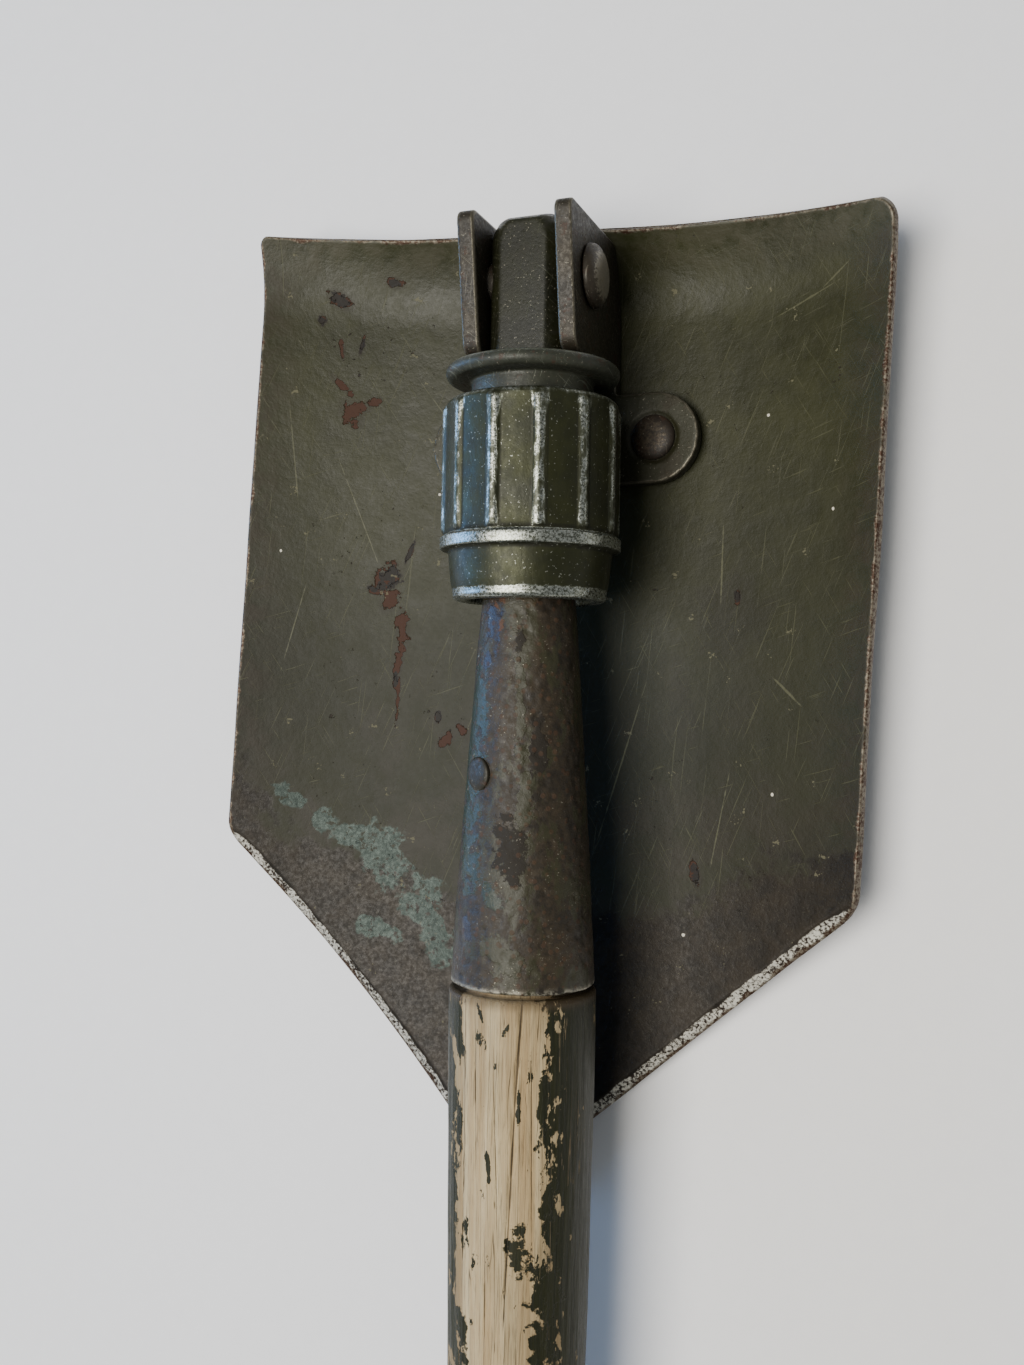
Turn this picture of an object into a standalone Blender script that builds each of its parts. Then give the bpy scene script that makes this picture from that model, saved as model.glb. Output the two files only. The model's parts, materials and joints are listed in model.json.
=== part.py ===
"""Folding camp shovel, folded flat with its locking nut backed off by a third of a turn.

Metres, +X across the blade, +Y along the shaft towards the hinge, +Z up from the blade's back to the shaft.
The origin lies on the flat of the blade's back, on the shaft's centre line.
Lengths along the shaft are measured from the hinge pivot and are negative towards the handle.
"""

import math

import bmesh
import bpy
import numpy as np
from mathutils import Matrix, Vector

GAP = 0.0003
EDGE_BREAK = 0.0008
CUTTER_PAST = 0.0010
CUTTER_REACH = 0.0040
SLOPE_STEP = 0.0002

# Locking nut, measured down from its top face.
NUT_RIBS = 12
NUT_WALL = 0.0049
NUT_RIB_SET_BACK = 0.0002
NUT_RIB_HEIGHT = 0.0007
NUT_RIB_HALF_ANGLE = 2.0
NUT_RIB_FOOT_ANGLE = 4.4
NUT_RIB_PHASE = -4.7
NUT_TOP_ROUND = 0.0023
NUT_TOP_PROFILE = ((0.0004, 0.0012), (0.0, 0.0026))
NUT_RIB_LENGTH = 0.0300
NUT_BAND_HEIGHT = 0.0027
NUT_SKIRT_HEIGHT = 0.0112
NUT_SKIRT_SET_BACK = 0.0019
NUT_SKIRT_ROUND = 0.0023
NUT_SKIRT_PROFILE = ((0.0006, 0.0042), (0.0012, 0.0014), (NUT_SKIRT_ROUND, 0.0002))
NUT_SKIRT_LEAD = 0.0005
NUT_SKIRT_WALL = 0.0041
NUT_COUNTERBORE_DEPTH = 0.0070
NUT_THREAD_START = 0.0100
NUT_THREAD_LENGTH = 0.0120

# Thread between neck and nut, right-handed with round flanks.
THREAD_PITCH = 0.0040
THREAD_OVER_NECK = 0.0015
THREAD_DEPTH = 0.0011
THREAD_CLEARANCE = 0.00035
THREAD_ROW = 0.0008
THREAD_RUN_OUT = 0.0012
NECK_THREAD_SPARE = 0.0028

# Thrust ring and the wire ring that holds its hub in the nut.
RING_LOCKED_FACE = 0.0180
EAR_SWING_CLEARANCE = 0.00037
RING_SET_BACK = 0.0007
RING_THICKNESS = 0.0034
RING_TO_NUT = 0.0044
RING_NECK_CLEARANCE = 0.0004
HUB_WALL = 0.0011
HUB_LIP = 0.0011
HUB_LIP_CLEARANCE = 0.0004
HUB_LIP_HEIGHT = 0.0018
HUB_BORE_CLEARANCE = 0.00045
WIRE_DIAMETER = 0.0016
WIRE_OVERLAP = 0.0006
WIRE_OPENING_ANGLE = 28.0

# Neck: the tongue between the ears, the threaded length and the spigot in the ferrule.
TONGUE_WIDTH = 0.0175
TONGUE_END_RADIUS = 0.0140
TONGUE_HALF_DEPTH = 0.0080
TONGUE_TRIM = 0.00085
TONGUE_LENGTH = 0.0260
NECK_STEP = 0.0003
NECK_TOP = 0.0190
COLLAR_SET_BACK = 0.0007
COLLAR_LENGTH = 0.0106
NECK_TAPER = 0.0030
SPIGOT_LENGTH = 0.0220

# Ferrule, a tapered steel tube.
FERRULE_LENGTH = 0.0911
FERRULE_TOP_RADIUS = 0.0096
FERRULE_END_RADIUS = 0.0157
FERRULE_BELLY = 0.0003
FERRULE_WALL = 0.0022

# Handle and its cross rivet.
HANDLE_LENGTH = 0.3330
HANDLE_SHOULDER_GAP = 0.0010
HANDLE_HEAD_STEP = 0.0004
HANDLE_WAIST_DROP = 0.0019
HANDLE_KNOB_RISE = 0.0026
HANDLE_DOME_SHARE = 0.05
HANDLE_SHOULDER_ROUND = 0.0012
HANDLE_BLADE_CLEARANCE = 0.0010
TENON_TO_SPIGOT = 0.0050
HANDLE_RIVET_ABOVE_END = 0.0453
HANDLE_RIVET_RADIUS = 0.0025
HANDLE_RIVET_OVERHANG = 0.0011
HANDLE_RIVET_RIM = 0.0005
HANDLE_RIVET_DOME = 0.0008
HANDLE_RIVET_ANGLE = -32.0

# Hinge bracket: a bent channel of one sheet, and the rivets that hold it.
BRACKET_THICKNESS = 0.0039
BRACKET_NUT_CLEARANCE = 0.0007
EAR_SIDE_CLEARANCE = 0.00032
EAR_TOP = 0.0130
EAR_FRONT_TOP = 0.0145
EAR_FRONT_FOOT = 0.0092
EAR_TOP_ROUND = 0.0022
EAR_FOOT_ROUND = 0.0040
EAR_BACK_DEPTH_SHARE = 0.45
EAR_INSET = 0.0001
BAR_END_RADIUS = 0.0105
BAR_RIVET_ACROSS = 0.0224
BAR_RIVET_BELOW = 0.0318
TOP_RIVET_BELOW = 0.0085
RIVET_SHANK_RADIUS = 0.0032
RIVET_HEAD_OVERHANG = 0.0015
RIVET_HEAD_RIM = 0.0005
RIVET_DOME = 0.0013
RIVET_SINK_FLARE = 0.0017
RIVET_SINK_DEPTH = 0.0015
RIVET_TAIL_INSET = 0.0001
RIVET_RECESS_MARGIN = 0.0013
RIVET_RECESS_DEPTH = 0.0004
RIVET_PLAY = 0.00035

# Pivot rivet.
PIVOT_RADIUS = 0.0050
PIVOT_HEAD_OVERHANG = 0.0020
PIVOT_RIM = 0.0006
PIVOT_DOME = 0.0026

# Blade, in its own axes: it sits a little out of square on the bracket.
BLADE_SKEW = -3.1
BLADE_TOP = 0.0163
BLADE_TOP_WIDTH = 0.1508
BLADE_SHOULDER_WIDTH = 0.1526
BLADE_SIDE_LENGTH = 0.1475
BLADE_POINT_LENGTH = 0.0765
BLADE_THICKNESS = 0.0020
BLADE_FLAT_WIDTH = 0.0240
BLADE_DISH_TOP = 0.0154
BLADE_DISH_SHOULDER = 0.0140
STEP_LENGTH = 0.0200
STEP_RISE_CENTRE = 0.0092
STEP_RISE_SIDE = 0.0046
POINT_RISE = 0.0070
POINT_CURVE_LENGTH = 0.0840
TOP_CORNER_RADIUS = 0.0045
SHOULDER_RADIUS = 0.0095
POINT_RADIUS = 0.0090
BEVEL_WIDTH = 0.0026
BEVEL_EDGE = 0.0006
SIDE_EDGE = 0.0016
EDGE_BLEND = 0.0080
POINT_LAND = 0.0006

REST_FACE_BELOW_PIVOT = 0.0600
FINE = 40
COARSE = 32

# Sizes that follow from the ones above.
TONGUE_TRIM_RADIUS = TONGUE_WIDTH / 2 + TONGUE_TRIM
NECK_RADIUS = TONGUE_TRIM_RADIUS + NECK_STEP
THREAD_RADIUS = NECK_RADIUS + THREAD_OVER_NECK
COLLAR_RADIUS = THREAD_RADIUS - COLLAR_SET_BACK
HUB_BORE = THREAD_RADIUS + THREAD_DEPTH / 2 + HUB_BORE_CLEARANCE
HUB_NECK_RADIUS = HUB_BORE + HUB_WALL
HUB_LIP_RADIUS = HUB_NECK_RADIUS + HUB_LIP
NUT_COUNTERBORE = HUB_LIP_RADIUS + HUB_LIP_CLEARANCE
NUT_RADIUS = NUT_COUNTERBORE + NUT_WALL
NUT_RIB_RADIUS = NUT_RADIUS - NUT_RIB_SET_BACK
NUT_PANEL_RADIUS = NUT_RIB_RADIUS - NUT_RIB_HEIGHT
NUT_SKIRT_RADIUS = NUT_RADIUS - NUT_SKIRT_SET_BACK
NUT_SKIRT_BORE = NUT_SKIRT_RADIUS - NUT_SKIRT_WALL
RING_RADIUS = NUT_RADIUS - RING_SET_BACK
WIRE_RADIUS = HUB_LIP_RADIUS - WIRE_OVERLAP + WIRE_DIAMETER / 2
EAR_INNER = TONGUE_WIDTH / 2 + EAR_SIDE_CLEARANCE
EAR_OUTER = EAR_INNER + BRACKET_THICKNESS
EAR_FOOT = RING_LOCKED_FACE
EAR_SWEEP = EAR_FOOT_ROUND + math.hypot(EAR_FOOT - EAR_FOOT_ROUND, EAR_FRONT_FOOT - EAR_FOOT_ROUND)
RIVET_HEAD_RADIUS = RIVET_SHANK_RADIUS + RIVET_HEAD_OVERHANG
RIVET_SINK_RADIUS = RIVET_SHANK_RADIUS + RIVET_SINK_FLARE
RIVET_RECESS_RADIUS = RIVET_HEAD_RADIUS + RIVET_RECESS_MARGIN
PIVOT_HEAD_RADIUS = PIVOT_RADIUS + PIVOT_HEAD_OVERHANG
HANDLE_HEAD_RADIUS = FERRULE_END_RADIUS + HANDLE_HEAD_STEP
HANDLE_WAIST_RADIUS = HANDLE_HEAD_RADIUS - HANDLE_WAIST_DROP
HANDLE_RIVET_HEAD = HANDLE_RIVET_RADIUS + HANDLE_RIVET_OVERHANG

# Levels under the pivot that follow: the folded blade clears both the nut and the handle.
FLOOR_FOR_NUT = NUT_RADIUS + BRACKET_NUT_CLEARANCE + BRACKET_THICKNESS
FLOOR_FOR_HANDLE = HANDLE_HEAD_RADIUS + POINT_RISE + HANDLE_BLADE_CLEARANCE
BRACKET_FLOOR = max(FLOOR_FOR_NUT, FLOOR_FOR_HANDLE)
BLADE_FACE = BRACKET_FLOOR + GAP
PIVOT_HEIGHT = BLADE_FACE + BLADE_THICKNESS
RIVET_SEAT = PIVOT_HEIGHT - BRACKET_FLOOR + BRACKET_THICKNESS - RIVET_RECESS_DEPTH

# Places along the shaft that follow, from the hinge down.
RING_TOP = -(EAR_SWEEP + EAR_SWING_CLEARANCE)
NUT_TOP = RING_TOP - RING_THICKNESS - RING_TO_NUT
HUB_END = NUT_TOP - NUT_COUNTERBORE_DEPTH + GAP
WIRE_LEVEL = HUB_END + HUB_LIP_HEIGHT + GAP + WIRE_DIAMETER / 2
NECK_THREAD_TOP = NUT_TOP - NUT_THREAD_START + NECK_THREAD_SPARE
NECK_THREAD_LENGTH = NUT_THREAD_LENGTH + 2 * NECK_THREAD_SPARE
FERRULE_TOP = -NECK_THREAD_TOP + NECK_THREAD_LENGTH + COLLAR_LENGTH
FERRULE_END = FERRULE_TOP + FERRULE_LENGTH
HANDLE_HEAD = FERRULE_END + HANDLE_SHOULDER_GAP
TENON_END = FERRULE_TOP + SPIGOT_LENGTH + TENON_TO_SPIGOT
HANDLE_RIVET_AT = FERRULE_END - HANDLE_RIVET_ABOVE_END


def clear_scene():
    """Start from an empty scene."""
    for item in list(bpy.data.objects):
        bpy.data.objects.remove(item, do_unlink=True)


def make_material(name, color, roughness, metallic):
    """A plain Principled finish."""
    material = bpy.data.materials.new(name)
    material.use_nodes = True
    shader = material.node_tree.nodes["Principled BSDF"]
    shader.inputs["Base Color"].default_value = (*color, 1.0)
    shader.inputs["Roughness"].default_value = roughness
    shader.inputs["Metallic"].default_value = metallic
    return material


def make_frame(name, parent=None, location=(0.0, 0.0, 0.0)):
    """An empty that a group of pieces moves with."""
    frame = bpy.data.objects.new(name, None)
    frame.location = location
    frame.parent = parent
    bpy.context.collection.objects.link(frame)
    return frame


def make_object(name, bm, parent, material=None):
    """Turn a closed bmesh into an object with outward faces."""
    bmesh.ops.recalc_face_normals(bm, faces=bm.faces)
    mesh = bpy.data.meshes.new(name)
    bm.to_mesh(mesh)
    bm.free()
    mesh.shade_smooth()
    mesh.set_sharp_from_angle(angle=math.radians(35))
    item = bpy.data.objects.new(name, mesh)
    item.parent = parent
    bpy.context.collection.objects.link(item)
    if material is None:
        item.hide_render = True
        item.display_type = "WIRE"
    else:
        mesh.materials.append(material)
    return item


def cut(item, tool, operation="DIFFERENCE"):
    """Add a live Boolean of the item with a tool solid."""
    boolean = item.modifiers.new(operation.lower() + "_" + tool.name, "BOOLEAN")
    boolean.operation = operation
    boolean.object = tool


def ring_stack(rings, closed):
    """Skin rings of equal point counts; the last joins the first when closed, or both ends get a cap."""
    bm = bmesh.new()
    loops = [[bm.verts.new(point) for point in ring] for ring in rings]
    count = len(loops[0])
    pairs = list(zip(loops, loops[1:]))
    if closed:
        pairs.append((loops[-1], loops[0]))
    else:
        bm.faces.new(loops[0])
        bm.faces.new(list(reversed(loops[-1])))
    for lower, upper in pairs:
        for i in range(count):
            j = (i + 1) % count
            bm.faces.new((lower[i], lower[j], upper[j], upper[i]))
    return bm


def around_shaft(radius, y, angle):
    """A point at a radius from the shaft's axis; the angle runs from +Z towards +X."""
    return (radius * math.sin(angle), y, radius * math.cos(angle))


def even_angles(count):
    """Equal steps round a circle."""
    return [2 * math.pi * i / count for i in range(count)]


def turned(profile, segments, closed):
    """Turn (radius, y) points about the shaft's axis."""
    angles = even_angles(segments)
    return ring_stack([[around_shaft(r, y, a) for a in angles] for r, y in profile], closed)


def thread_wave(y, angle):
    """Height of the screw thread at a place, a wave that is the same along its right-handed helix."""
    return THREAD_DEPTH / 2 * math.cos(2 * math.pi * y / THREAD_PITCH - angle)


def thread_rows(start, length):
    """Levels of a thread's rows, from its upper end down."""
    count = round(length / THREAD_ROW)
    return [start - length * i / count for i in range(count + 1)]


def arc(centre, radius, start, end, count):
    """Points of an arc, both ends included, angles in degrees."""
    points = []
    for i in range(count + 1):
        a = math.radians(start + (end - start) * i / count)
        points.append((centre[0] + radius * math.cos(a), centre[1] + radius * math.sin(a)))
    return points


def round_corner(before, corner, after, radius, count):
    """Points of the arc that rounds one corner of a polygon."""
    corner = Vector(corner)
    towards_before = (Vector(before) - corner).normalized()
    towards_after = (Vector(after) - corner).normalized()
    half = towards_before.angle(towards_after) / 2
    reach = radius / math.tan(half)
    centre = corner + (towards_before + towards_after).normalized() * (radius / math.sin(half))
    first = corner + towards_before * reach - centre
    last = corner + towards_after * reach - centre
    swing = first.angle_signed(last)
    points = []
    for i in range(count + 1):
        turned_arm = Matrix.Rotation(-swing * i / count, 2) @ first
        points.append(tuple(centre + turned_arm))
    return points


def prism(outline, place, low, high):
    """Extrude a polygon; place(u, v, height) gives the point."""
    return ring_stack([[place(u, v, h) for u, v in outline] for h in (low, high)], False)


# The blade's inner face as a height over the pivot's level, in the blade's own axes.


def step_rise(x, y):
    """How far the curled step edge comes forward."""
    along = min(max((y - (BLADE_TOP - STEP_LENGTH)) / STEP_LENGTH, 0.0), 1.0)
    across = min((2 * abs(x) / BLADE_TOP_WIDTH) ** 1.5, 1.0)
    return (STEP_RISE_CENTRE + (STEP_RISE_SIDE - STEP_RISE_CENTRE) * across) * along**2


def point_rise(y):
    """How far the point comes forward."""
    start = BLADE_TOP - BLADE_SIDE_LENGTH - BLADE_POINT_LENGTH + POINT_CURVE_LENGTH
    return POINT_RISE * max((start - y) / POINT_CURVE_LENGTH, 0.0) ** 2


def blade_height(x, y):
    """Height of the blade's inner face, negative because it lies under the pivot."""
    along = min(max((BLADE_TOP - y) / BLADE_SIDE_LENGTH, 0.0), 1.0)
    dish = BLADE_DISH_TOP + (BLADE_DISH_SHOULDER - BLADE_DISH_TOP) * along
    slope_start = BLADE_FLAT_WIDTH / 2
    across = max(abs(x) - slope_start, 0.0) / (BLADE_TOP_WIDTH / 2 - slope_start)
    return -BLADE_FACE + dish * across**2 + step_rise(x, y) + point_rise(y)


def blade_point(x, y, depth):
    """A point in the blade's own axes, a depth under its inner face and square to it."""
    d = SLOPE_STEP
    across = (blade_height(x + d, y) - blade_height(x - d, y)) / (2 * d)
    along = (blade_height(x, y + d) - blade_height(x, y - d)) / (2 * d)
    normal = Vector((-across, -along, 1.0)).normalized()
    return Vector((x, y, blade_height(x, y))) - normal * depth


def seat_point(x, y, lift):
    """A point over the blade's inner face, in the shaft's axes, lifted square to the blade."""
    skew = Matrix.Rotation(math.radians(BLADE_SKEW), 3, "Z")
    own = skew.inverted() @ Vector((x, y, 0.0))
    return skew @ blade_point(own.x, own.y, -lift)


def blade_outline():
    """Right half of the blade's outline as (half width, y), from the top edge to the point."""
    top = BLADE_TOP
    shoulder_y = top - BLADE_SIDE_LENGTH
    point_y = shoulder_y - BLADE_POINT_LENGTH
    corner = (BLADE_TOP_WIDTH / 2, top)
    shoulder = (BLADE_SHOULDER_WIDTH / 2, shoulder_y)
    rows = round_corner((0.0, top), corner, shoulder, TOP_CORNER_RADIUS, 3)
    start = rows[-1]
    arc_in = round_corner(corner, shoulder, (0.0, point_y), SHOULDER_RADIUS, 4)
    side_shares = (0.025, 0.05, 0.075, 0.11, 0.3, 0.5, 0.7, 0.87)
    for share in side_shares:
        rows.append(tuple(np.array(start) * (1 - share) + np.array(arc_in[0]) * share))
    rows += arc_in
    start = rows[-1]
    tip = round_corner(shoulder, (0.0, point_y), (-shoulder[0], shoulder_y), POINT_RADIUS, 8)[:5]
    for i in range(1, 8):
        rows.append(tuple(np.array(start) * (1 - i / 8) + np.array(tip[0]) * i / 8))
    return rows + tip


def make_blade(parent, cutters):
    """Dished sheet with a curled step edge and ground bevels on the two digging edges."""
    rows = blade_outline()
    shoulder_y = BLADE_TOP - BLADE_SIDE_LENGTH
    shares = [0.0, 0.16, 0.33, 0.51, 0.69, 0.85, 1.0]
    spread = sorted({s for share in shares for s in (-share, share)})
    upper, lower = [], []
    slope = math.atan(BLADE_POINT_LENGTH / BLADE_SHOULDER_WIDTH * 2)
    for half, y in rows:
        half = max(half, POINT_LAND)
        bevel = min(BEVEL_WIDTH / math.cos(slope), half / 2)
        below = min(max((shoulder_y + EDGE_BLEND / 2 - y) / EDGE_BLEND, 0.0), 1.0)
        edge = SIDE_EDGE + (BEVEL_EDGE - SIDE_EDGE) * below
        last = y == rows[-1][1]
        xs = [-half] + [share * (half - bevel) for share in spread] + [half]
        top_depths = [BLADE_THICKNESS - edge] + [0.0] * len(spread) + [BLADE_THICKNESS - edge]
        if last:
            top_depths = [BLADE_THICKNESS - edge] * len(xs)
        upper.append([blade_point(x, y, depth) for x, depth in zip(xs, top_depths)])
        lower.append([blade_point(x, y, BLADE_THICKNESS) for x in reversed(xs)])
    rings = [up + down for up, down in zip(upper, lower)]
    bm = ring_stack(rings, False)
    steel = make_material("olive_painted_sheet", (0.075, 0.078, 0.050), 0.55, 0.3)
    blade = make_object("blade", bm, parent, steel)
    blade.rotation_euler.z = math.radians(BLADE_SKEW)
    for tool in cutters:
        cut(blade, tool)


def rivet_places():
    """Names and places of the bracket's rivets, in the shaft's axes."""
    return {
        "blade_rivet_left": (-BAR_RIVET_ACROSS, -BAR_RIVET_BELOW),
        "blade_rivet_right": (BAR_RIVET_ACROSS, -BAR_RIVET_BELOW),
        "blade_rivet_top": (0.0, -TOP_RIVET_BELOW),
    }


def rivet_profile():
    """(radius, height) of a blade rivet over the blade's back, from its flush tail to its head."""
    rim = RIVET_SEAT + GAP
    points = [(RIVET_SINK_RADIUS, RIVET_TAIL_INSET), (RIVET_SHANK_RADIUS, RIVET_SINK_DEPTH)]
    points += [(RIVET_SHANK_RADIUS, rim), (RIVET_HEAD_RADIUS, rim)]
    points += [(RIVET_HEAD_RADIUS, rim + RIVET_HEAD_RIM)]
    for share in (0.85, 0.6, 0.3, 0.1):
        points.append((RIVET_HEAD_RADIUS * share, rim + RIVET_HEAD_RIM + RIVET_DOME * (1 - share**2)))
    return points


def rivet_hole_profile():
    """The hole that the rivet needs, with its countersink and the recess round its head."""
    slope = (RIVET_SINK_RADIUS - RIVET_SHANK_RADIUS) / RIVET_SINK_DEPTH
    return [
        (RIVET_SINK_RADIUS + RIVET_PLAY + slope * CUTTER_PAST, -CUTTER_PAST),
        (RIVET_SHANK_RADIUS + RIVET_PLAY, RIVET_SINK_DEPTH),
        (RIVET_SHANK_RADIUS + RIVET_PLAY, RIVET_SEAT),
        (RIVET_RECESS_RADIUS, RIVET_SEAT),
        (RIVET_RECESS_RADIUS, RIVET_SEAT + CUTTER_REACH),
    ]


def standing(profile, x, y, segments):
    """Turn a (radius, height) profile about the blade's normal at a place on the blade."""
    base = seat_point(x, y, -BLADE_THICKNESS)
    normal = (seat_point(x, y, 0.0) - base).normalized()
    turn = Vector((0.0, 0.0, 1.0)).rotation_difference(normal).to_matrix()
    rings = []
    for radius, height in profile:
        ring = [Vector((radius * math.cos(a), radius * math.sin(a), height)) for a in even_angles(segments)]
        rings.append([base + turn @ point for point in ring])
    return ring_stack(rings, False)


def make_blade_rivets(parent):
    """The bracket's rivets, and the cutters of their holes."""
    steel = make_material("worn_rivet_steel", (0.07, 0.055, 0.045), 0.5, 0.6)
    cutters = []
    for name, (x, y) in rivet_places().items():
        make_object(name, standing(rivet_profile(), x, y, 24), parent, steel)
        cutters.append(make_object(name + "_hole", standing(rivet_hole_profile(), x, y, 28), parent))
    return cutters


def bracket_outline():
    """The bracket's floor seen from above: a channel floor over a bar with round ends."""
    half = EAR_OUTER - EAR_INSET
    low = -BAR_RIVET_BELOW
    right = arc((BAR_RIVET_ACROSS, low), BAR_END_RADIUS, 90, -90, 12)
    left = arc((-BAR_RIVET_ACROSS, low), BAR_END_RADIUS, 270, 90, 12)
    top = low + BAR_END_RADIUS
    return [(-half, EAR_TOP), (half, EAR_TOP), (half, top)] + right + left + [(-half, top)]


def ear_outline():
    """One ear seen from the side, as (y, z) points; its back edge lies inside the floor's sheet."""
    x = (EAR_INNER + EAR_OUTER) / 2
    back = []
    for i in range(7):
        y = -EAR_FOOT + (EAR_TOP + EAR_FOOT) * i / 6
        back.append((y, seat_point(x, y, GAP + BRACKET_THICKNESS * EAR_BACK_DEPTH_SHARE).z))
    front_top = (EAR_TOP, EAR_FRONT_TOP)
    front_foot = (-EAR_FOOT, EAR_FRONT_FOOT)
    top = round_corner(back[-1], front_top, front_foot, EAR_TOP_ROUND, 4)
    foot = round_corner(front_top, front_foot, back[0], EAR_FOOT_ROUND, 5)
    return back + top + foot


def make_bracket(parent, cutters, pivot_hole):
    """Bent channel: floor sheet that follows the blade, and two ears."""
    reach = BAR_RIVET_ACROSS + BAR_END_RADIUS + CUTTER_PAST
    low = -BAR_RIVET_BELOW - BAR_END_RADIUS - CUTTER_PAST
    xs = [reach * i / 8 for i in range(-8, 9)]
    ys = [low + (EAR_TOP + CUTTER_PAST - low) * i / 16 for i in range(17)]
    rings = []
    for y in ys:
        under = [seat_point(x, y, GAP) for x in xs]
        over = [seat_point(x, y, GAP + BRACKET_THICKNESS) for x in reversed(xs)]
        rings.append(under + over)
    steel = make_material("browned_bracket_steel", (0.06, 0.048, 0.038), 0.6, 0.5)
    bracket = make_object("hinge_bracket", ring_stack(rings, False), parent, steel)
    outline = prism(bracket_outline(), lambda u, v, h: (u, v, h), -2 * BLADE_FACE, BLADE_FACE)
    cut(bracket, make_object("bracket_outline", outline, parent), "INTERSECT")
    for name, side in (("ear_left", -1), ("ear_right", 1)):
        ear = prism(ear_outline(), lambda u, v, h: (h, u, v), side * EAR_INNER, side * EAR_OUTER)
        cut(bracket, make_object(name, ear, parent), "UNION")
    for tool in cutters:
        cut(bracket, tool)
    cut(bracket, pivot_hole)


def across_profile(profile, segments):
    """Turn (radius, x) points about the pivot's axis."""
    angles = even_angles(segments)
    rings = [[(x, r * math.sin(a), r * math.cos(a)) for a in angles] for r, x in profile]
    return ring_stack(rings, False)


def make_pivot(parent):
    """Pivot rivet with a domed head outside each ear."""
    seat = EAR_OUTER + GAP
    half = [(PIVOT_RADIUS, seat), (PIVOT_HEAD_RADIUS, seat), (PIVOT_HEAD_RADIUS, seat + PIVOT_RIM)]
    for share in (0.88, 0.68, 0.42, 0.15):
        half.append((PIVOT_HEAD_RADIUS * share, seat + PIVOT_RIM + PIVOT_DOME * (1 - share**2)))
    profile = [(r, -x) for r, x in reversed(half)] + half
    steel = make_material("pivot_steel", (0.09, 0.075, 0.065), 0.45, 0.7)
    make_object("pivot_rivet", across_profile(profile, 28), parent, steel)


def make_pivot_hole(name, parent):
    """Cutter for the pivot's hole."""
    reach = EAR_OUTER + CUTTER_PAST
    radius = PIVOT_RADIUS + GAP
    return make_object(name, across_profile([(radius, -reach), (radius, reach)], 36), parent)


def make_neck(parent):
    """Forging: round-ended tongue, threaded length, collar and spigot."""
    rows = thread_rows(NECK_THREAD_TOP, NECK_THREAD_LENGTH)
    angles = even_angles(FINE)
    collar_top = rows[-1] - EDGE_BREAK
    collar_end = -FERRULE_TOP + GAP
    spigot_end = -FERRULE_TOP - SPIGOT_LENGTH
    above = [(NECK_RADIUS - EDGE_BREAK, -NECK_TOP), (NECK_RADIUS, -NECK_TOP - EDGE_BREAK)]
    above += [(NECK_RADIUS, NECK_THREAD_TOP + NECK_TAPER)]
    above += [(THREAD_RADIUS - THREAD_DEPTH / 2, NECK_THREAD_TOP + THREAD_RUN_OUT)]
    below = [(COLLAR_RADIUS, collar_top), (COLLAR_RADIUS, collar_end)]
    below += [(ferrule_bore(collar_end) - GAP, collar_end), (ferrule_bore(spigot_end) - GAP, spigot_end)]
    rings = [[around_shaft(r, y, a) for a in angles] for r, y in above]
    rings += [[around_shaft(THREAD_RADIUS + thread_wave(y, a), y, a) for a in angles] for y in rows]
    rings += [[around_shaft(r, y, a) for a in angles] for r, y in below]
    steel = make_material("neck_steel", (0.08, 0.082, 0.055), 0.5, 0.4)
    neck = make_object("neck", ring_stack(rings, False), parent, steel)
    tongue = make_object("tongue", tongue_solid(), parent)
    cut(tongue, make_object("tongue_trim", tongue_trim(), parent), "INTERSECT")
    cut(neck, tongue, "UNION")
    cut(neck, make_pivot_hole("tongue_hole", parent))


def tongue_solid():
    """Flat-sided tongue with its end round about the pivot."""
    lean = math.degrees(math.asin(TONGUE_HALF_DEPTH / TONGUE_END_RADIUS))
    end = arc((0.0, 0.0), TONGUE_END_RADIUS, -lean, lean, 10)
    foot = [(-TONGUE_LENGTH, TONGUE_HALF_DEPTH), (-TONGUE_LENGTH, -TONGUE_HALF_DEPTH)]
    return prism(end + foot, lambda u, v, h: (h, u, v), -TONGUE_WIDTH / 2, TONGUE_WIDTH / 2)


def tongue_trim():
    """Turned shape that takes the tongue's corners off."""
    top = TONGUE_END_RADIUS
    shares = ((0.42, 0.001), (0.71, -0.001), (0.86, -0.002), (0.95, -0.0036), (1.0, -0.006))
    profile = [(TONGUE_TRIM_RADIUS * share, top + drop) for share, drop in shares]
    profile.append((TONGUE_TRIM_RADIUS, -TONGUE_LENGTH - CUTTER_PAST))
    return turned(profile, FINE, False)


def make_thrust_ring(parent):
    """Flanged ring: a rounded flange that bears on the ears and a hub that hangs in the nut."""
    bore = NECK_RADIUS + RING_NECK_CLEARANCE
    under = RING_TOP - RING_THICKNESS
    middle = RING_TOP - RING_THICKNESS / 2
    lip_top = HUB_END + HUB_LIP_HEIGHT
    nose = arc((RING_RADIUS - RING_THICKNESS / 2, middle), RING_THICKNESS / 2, 68, -68, 6)
    profile = [(bore, RING_TOP), (RING_RADIUS - RING_THICKNESS / 2, RING_TOP)] + nose
    profile += [(RING_RADIUS - RING_THICKNESS / 2, under), (HUB_NECK_RADIUS, under)]
    profile += [(HUB_NECK_RADIUS, lip_top), (HUB_LIP_RADIUS, lip_top), (HUB_LIP_RADIUS, HUB_END)]
    profile += [(HUB_BORE, HUB_END), (HUB_BORE, under), (bore, under + EDGE_BREAK)]
    steel = make_material("ring_steel", (0.05, 0.048, 0.045), 0.45, 0.7)
    make_object("thrust_ring", turned(profile, FINE, True), parent, steel)


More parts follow.
